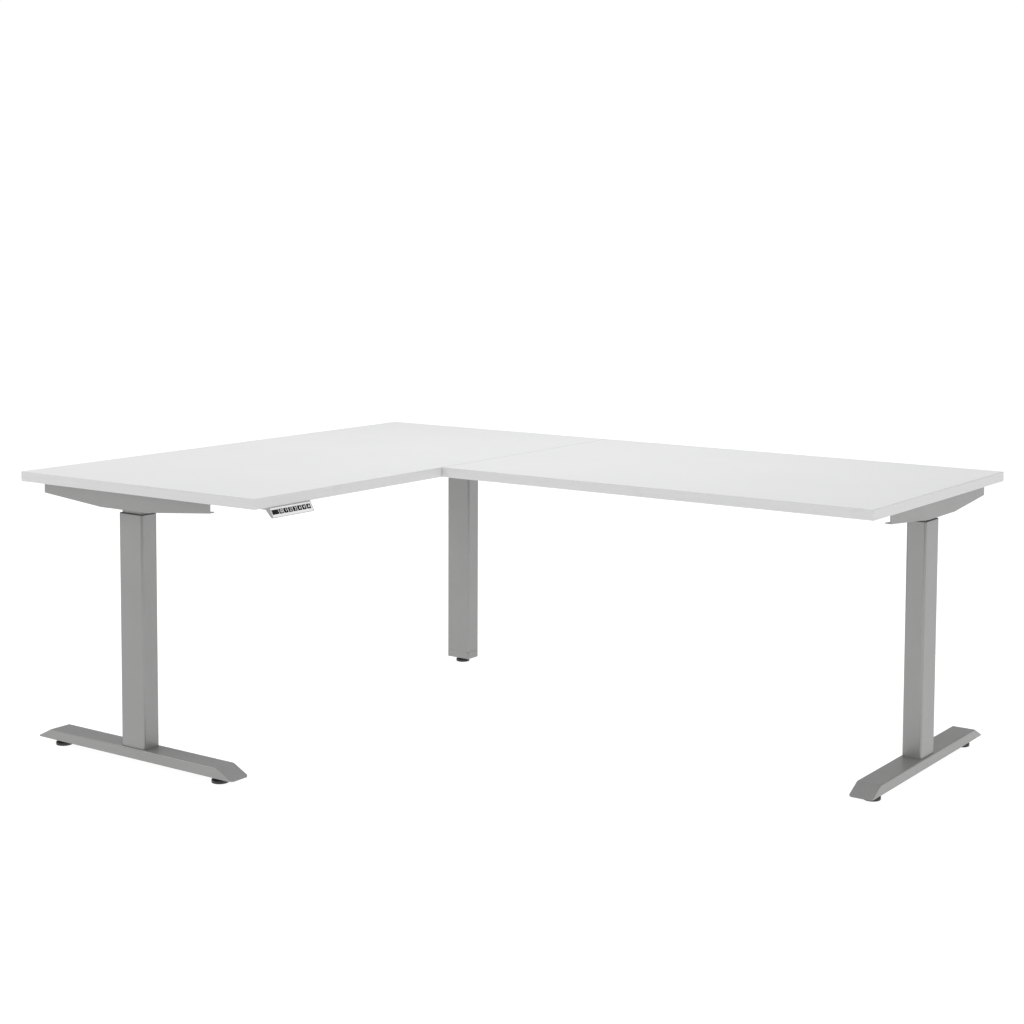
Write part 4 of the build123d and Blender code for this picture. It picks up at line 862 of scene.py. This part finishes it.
SOCKETS = ((-1, -1), (-1, 1), (1, 1))  # side of the box's centre line, end of the box
SOCKET_SHIFT = 28.0 * MM
SOCKET_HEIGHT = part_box("left_motor_cable")[1][2] - CABLE_RADIUS
plugs = bmesh.new()
for side, end in SOCKETS:
    end_y = box_high.y if end > 0 else box_low.y
    spot = (BOX_MIDDLE.x + side * SOCKET_SHIFT, end_y, SOCKET_HEIGHT)
    add_ring(plugs, axes_at(spot, (1, 0, 0), (0, end, 0)), in_metres(PLUG_SECTION), 32)
handset_spot = (BOX_MIDDLE.x + SOCKET_SHIFT, box_low.y, SOCKET_HEIGHT)
handset_socket = axes_at(handset_spot, (1, 0, 0), (0, -1, 0))
SLIMMER = 0.75  # mm, of the radius of the handset's plug
slim_section = [(height, radius - SLIMMER) for height, radius in PLUG_SECTION]
add_ring(plugs, handset_socket, in_metres(slim_section), 32)
slot_piece("cable_plugs", plugs, "desktop", "cable_sheath", 0.25 * MM)

RIB_PITCH = 9.0 * MM
RIB_COUNT = 15
RIB_WIDTH = 3.0 * MM
RIB_PROUD = 0.9 * MM
RIB_ROOT = -0.5 * MM  # inside the box's wall
RIB_REACH = 9.0 * MM  # half of its length up the side of the box
PANEL_INSET = 9.0 * MM
BASE_RIB_PITCH = 6.5 * MM
BASE_RIB_SHARE = 0.62  # of the panel's length
BASE_RIBS_EACH_WAY = 4
ribs = bmesh.new()
for side in (-1, 1):
    face_x = box_high.x if side > 0 else box_low.x
    body_middle = (box_low.z + BOX_BODY_TOP) / 2
    flank = axes_at((face_x, BOX_MIDDLE.y, body_middle), (0, 1, 0), (side, 0, 0))
    for index in range(RIB_COUNT):
        along = (index - (RIB_COUNT - 1) / 2) * RIB_PITCH
        points = ((along, -RIB_REACH), (along, RIB_REACH))
        add_stroke(ribs, flank, points, RIB_WIDTH, RIB_ROOT, RIB_PROUD)
base_plane = axes_at((BOX_MIDDLE.x, BOX_MIDDLE.y, box_low.z), (0, 1, 0), (0, 0, -1))
panel_x = (box_high.y - box_low.y) / 2 - PANEL_INSET
panel_y = (box_high.x - box_low.x) / 2 - PANEL_INSET
frame_line = ((-panel_x, -panel_y), (panel_x, -panel_y), (panel_x, panel_y), (-panel_x, panel_y))
add_stroke(ribs, base_plane, frame_line, RIB_WIDTH, RIB_ROOT, RIB_PROUD, True)
for row in range(-BASE_RIBS_EACH_WAY, BASE_RIBS_EACH_WAY + 1):
    rib_y = row * BASE_RIB_PITCH
    points = ((-panel_x * BASE_RIB_SHARE, rib_y), (panel_x * BASE_RIB_SHARE, rib_y))
    add_stroke(ribs, base_plane, points, RIB_WIDTH, RIB_ROOT, RIB_PROUD)
slot_piece("control_box_ribs", ribs, "desktop", "box_plastic", 0.3 * MM)

LID_SCREW_INSET = 17.0 * MM
LID_SCREW_FROM_FRAME = 8.0 * MM
LID_SCREW_PROFILE = [(-0.3, 3.2), (0.9, 3.2), (1.5, 2.3)]  # mm: height, radius
SLOT_REACH = 1.4 * MM
SLOT_WIDTH = 0.8 * MM
SLOT_HEIGHTS = (1.0 * MM, 1.53 * MM)
lid_screws = bmesh.new()
lid_slot_shade_marks = bmesh.new()
for across in (-1, 1):
    for along in (-1, 1):
        screw_x = along * (panel_x + PANEL_INSET - LID_SCREW_INSET)
        screw_y = across * (panel_y - LID_SCREW_FROM_FRAME)
        head_plane = base_plane @ Matrix.Translation((screw_x, screw_y, 0.0))
        add_turned(lid_screws, head_plane, in_metres(LID_SCREW_PROFILE), 32)
        # dark crosses on the lid screws' heads: painted shade where their cross recesses would be
        for points in cross_lines(SLOT_REACH):
            add_stroke(lid_slot_shade_marks, head_plane, points, SLOT_WIDTH, *SLOT_HEIGHTS)
slot_piece("lid_screws", lid_screws, "desktop", "zinc_steel", 0.15 * MM)
make_piece("lid_screw_slot_shade_marks", lid_slot_shade_marks, "desktop", PAINTED_RECESS_SHADE)

LENS_PROFILE = [(-0.5, 2.2), (0.5, 2.2), (0.9, 1.9), (1.2, 1.3), (1.35, 0.4)]
lens = bmesh.new()
lens_plane = axes_at((BOX_MIDDLE.x, box_low.y, BOX_MIDDLE.z), (1, 0, 0), (0, -1, 0))
add_turned(lens, lens_plane, in_metres(LENS_PROFILE), 24)
make_piece("status_lens", lens, "desktop", LENS_FINISH)


# ---------------------------------------------------------------- motors and clips
BAND_SECTION = [(0.0, 17.05), (7.0, 17.05), (7.0, 17.6), (0.0, 17.6)]
BAND_START = 60.0 * MM  # from the column's axis
MOTORS = {"left": (0, 1, 0), "corner": (0, -1, 0), "right": (-1, 0, 0)}  # direction from the column
MOTOR_HEIGHT = 655.0 * MM
MOTOR_END = 148.0 * MM  # from the column's axis
END_SCREW_RING = 10.5 * MM
END_SCREW_PROFILE = [(-0.3, 1.9), (1.0, 1.9), (1.5, 1.3)]
bands = bmesh.new()
glands = bmesh.new()
end_screws = bmesh.new()
for side, direction in MOTORS.items():
    axis = middle(f"{side}_spindle")
    axis.z = MOTOR_HEIGHT
    across = Vector((0, 0, 1)).cross(Vector(direction))
    at_band = axes_at(axis + Vector(direction) * BAND_START, across, direction)
    add_ring(bands, at_band, in_metres(BAND_SECTION), 64)
    at_end = axes_at(axis + Vector(direction) * MOTOR_END, across, direction)
    add_ring(glands, at_end, in_metres(GLAND_SECTION), 32)
    for flat in arc((0, 0), END_SCREW_RING, 45, 315, 3):
        screw_plane = at_end @ Matrix.Translation((*flat, 0.0))
        add_turned(end_screws, screw_plane, in_metres(END_SCREW_PROFILE), 24)
slot_piece("motor_bands", bands, "desktop", "zinc_steel", 0.1 * MM)
slot_piece("motor_glands", glands, "desktop", "cable_sheath", 0.2 * MM)
slot_piece("motor_end_screws", end_screws, "desktop", "zinc_steel", 0.1 * MM)

relief = bmesh.new()
cable_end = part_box("handset_cable")[1]
relief_spot = (cable_end[0], middle("handset_case").y, cable_end[2] - HANDSET_CABLE_RADIUS)
add_ring(relief, axes_at(relief_spot, (0, 1, 0), (-1, 0, 0)), in_metres(RELIEF_SECTION), 32)
slot_piece("handset_strain_relief", relief, "desktop", "cable_sheath", 0.1 * MM)

PAD_MARGIN = 6.0 * MM
PAD_THICKNESS = 1.0 * MM
PAD_CORNER = 2.0 * MM
PAD_START = 0.02 * MM  # clear of the board
pads = bmesh.new()
for low, high in islands("cable_clips"):
    pad_spot = ((low.x + high.x) / 2, (low.y + high.y) / 2, high.z)
    pad_plane = axes_at(pad_spot, (1, 0, 0), (0, 0, -1))
    pad_size = (high.x - low.x + PAD_MARGIN, high.y - low.y + PAD_MARGIN)
    add_plate(pads, pad_plane, pad_size, PAD_CORNER, PAD_START, PAD_THICKNESS)
slot_piece("clip_pads", pads, "desktop", "box_plastic", 0.2 * MM)


# ---------------------------------------------------------------- levelling glides
FOOT_NUT_HEIGHT = 3.6 * MM
CORNER_NUT_HEIGHT = 2.4 * MM
NUT_RADIUS = 8.5 * MM
COLLAR_RADIUS = 10.0 * MM
COLLAR_HEIGHT = 0.8 * MM
for entry in frame["record"]["subparts"]:
    glide = entry["node"]
    if not glide.endswith("_glide"):
        continue
    spot = middle(glide)
    nut_height = CORNER_NUT_HEIGHT if glide == "corner_glide" else FOOT_NUT_HEIGHT
    on_pad = axes_at((spot.x, spot.y, GLIDE_TOP), (1, 0, 0), (0, 0, 1))
    nut = bmesh.new()
    add_turned(nut, on_pad, [(0.0, NUT_RADIUS), (nut_height, NUT_RADIUS)], 6)
    add_turned(nut, on_pad, [(0.0, COLLAR_RADIUS), (COLLAR_HEIGHT, COLLAR_RADIUS)], 32)
    slot_piece(f"{glide}_nut", nut, f"{glide}_body", "box_plastic", 0.4 * MM)
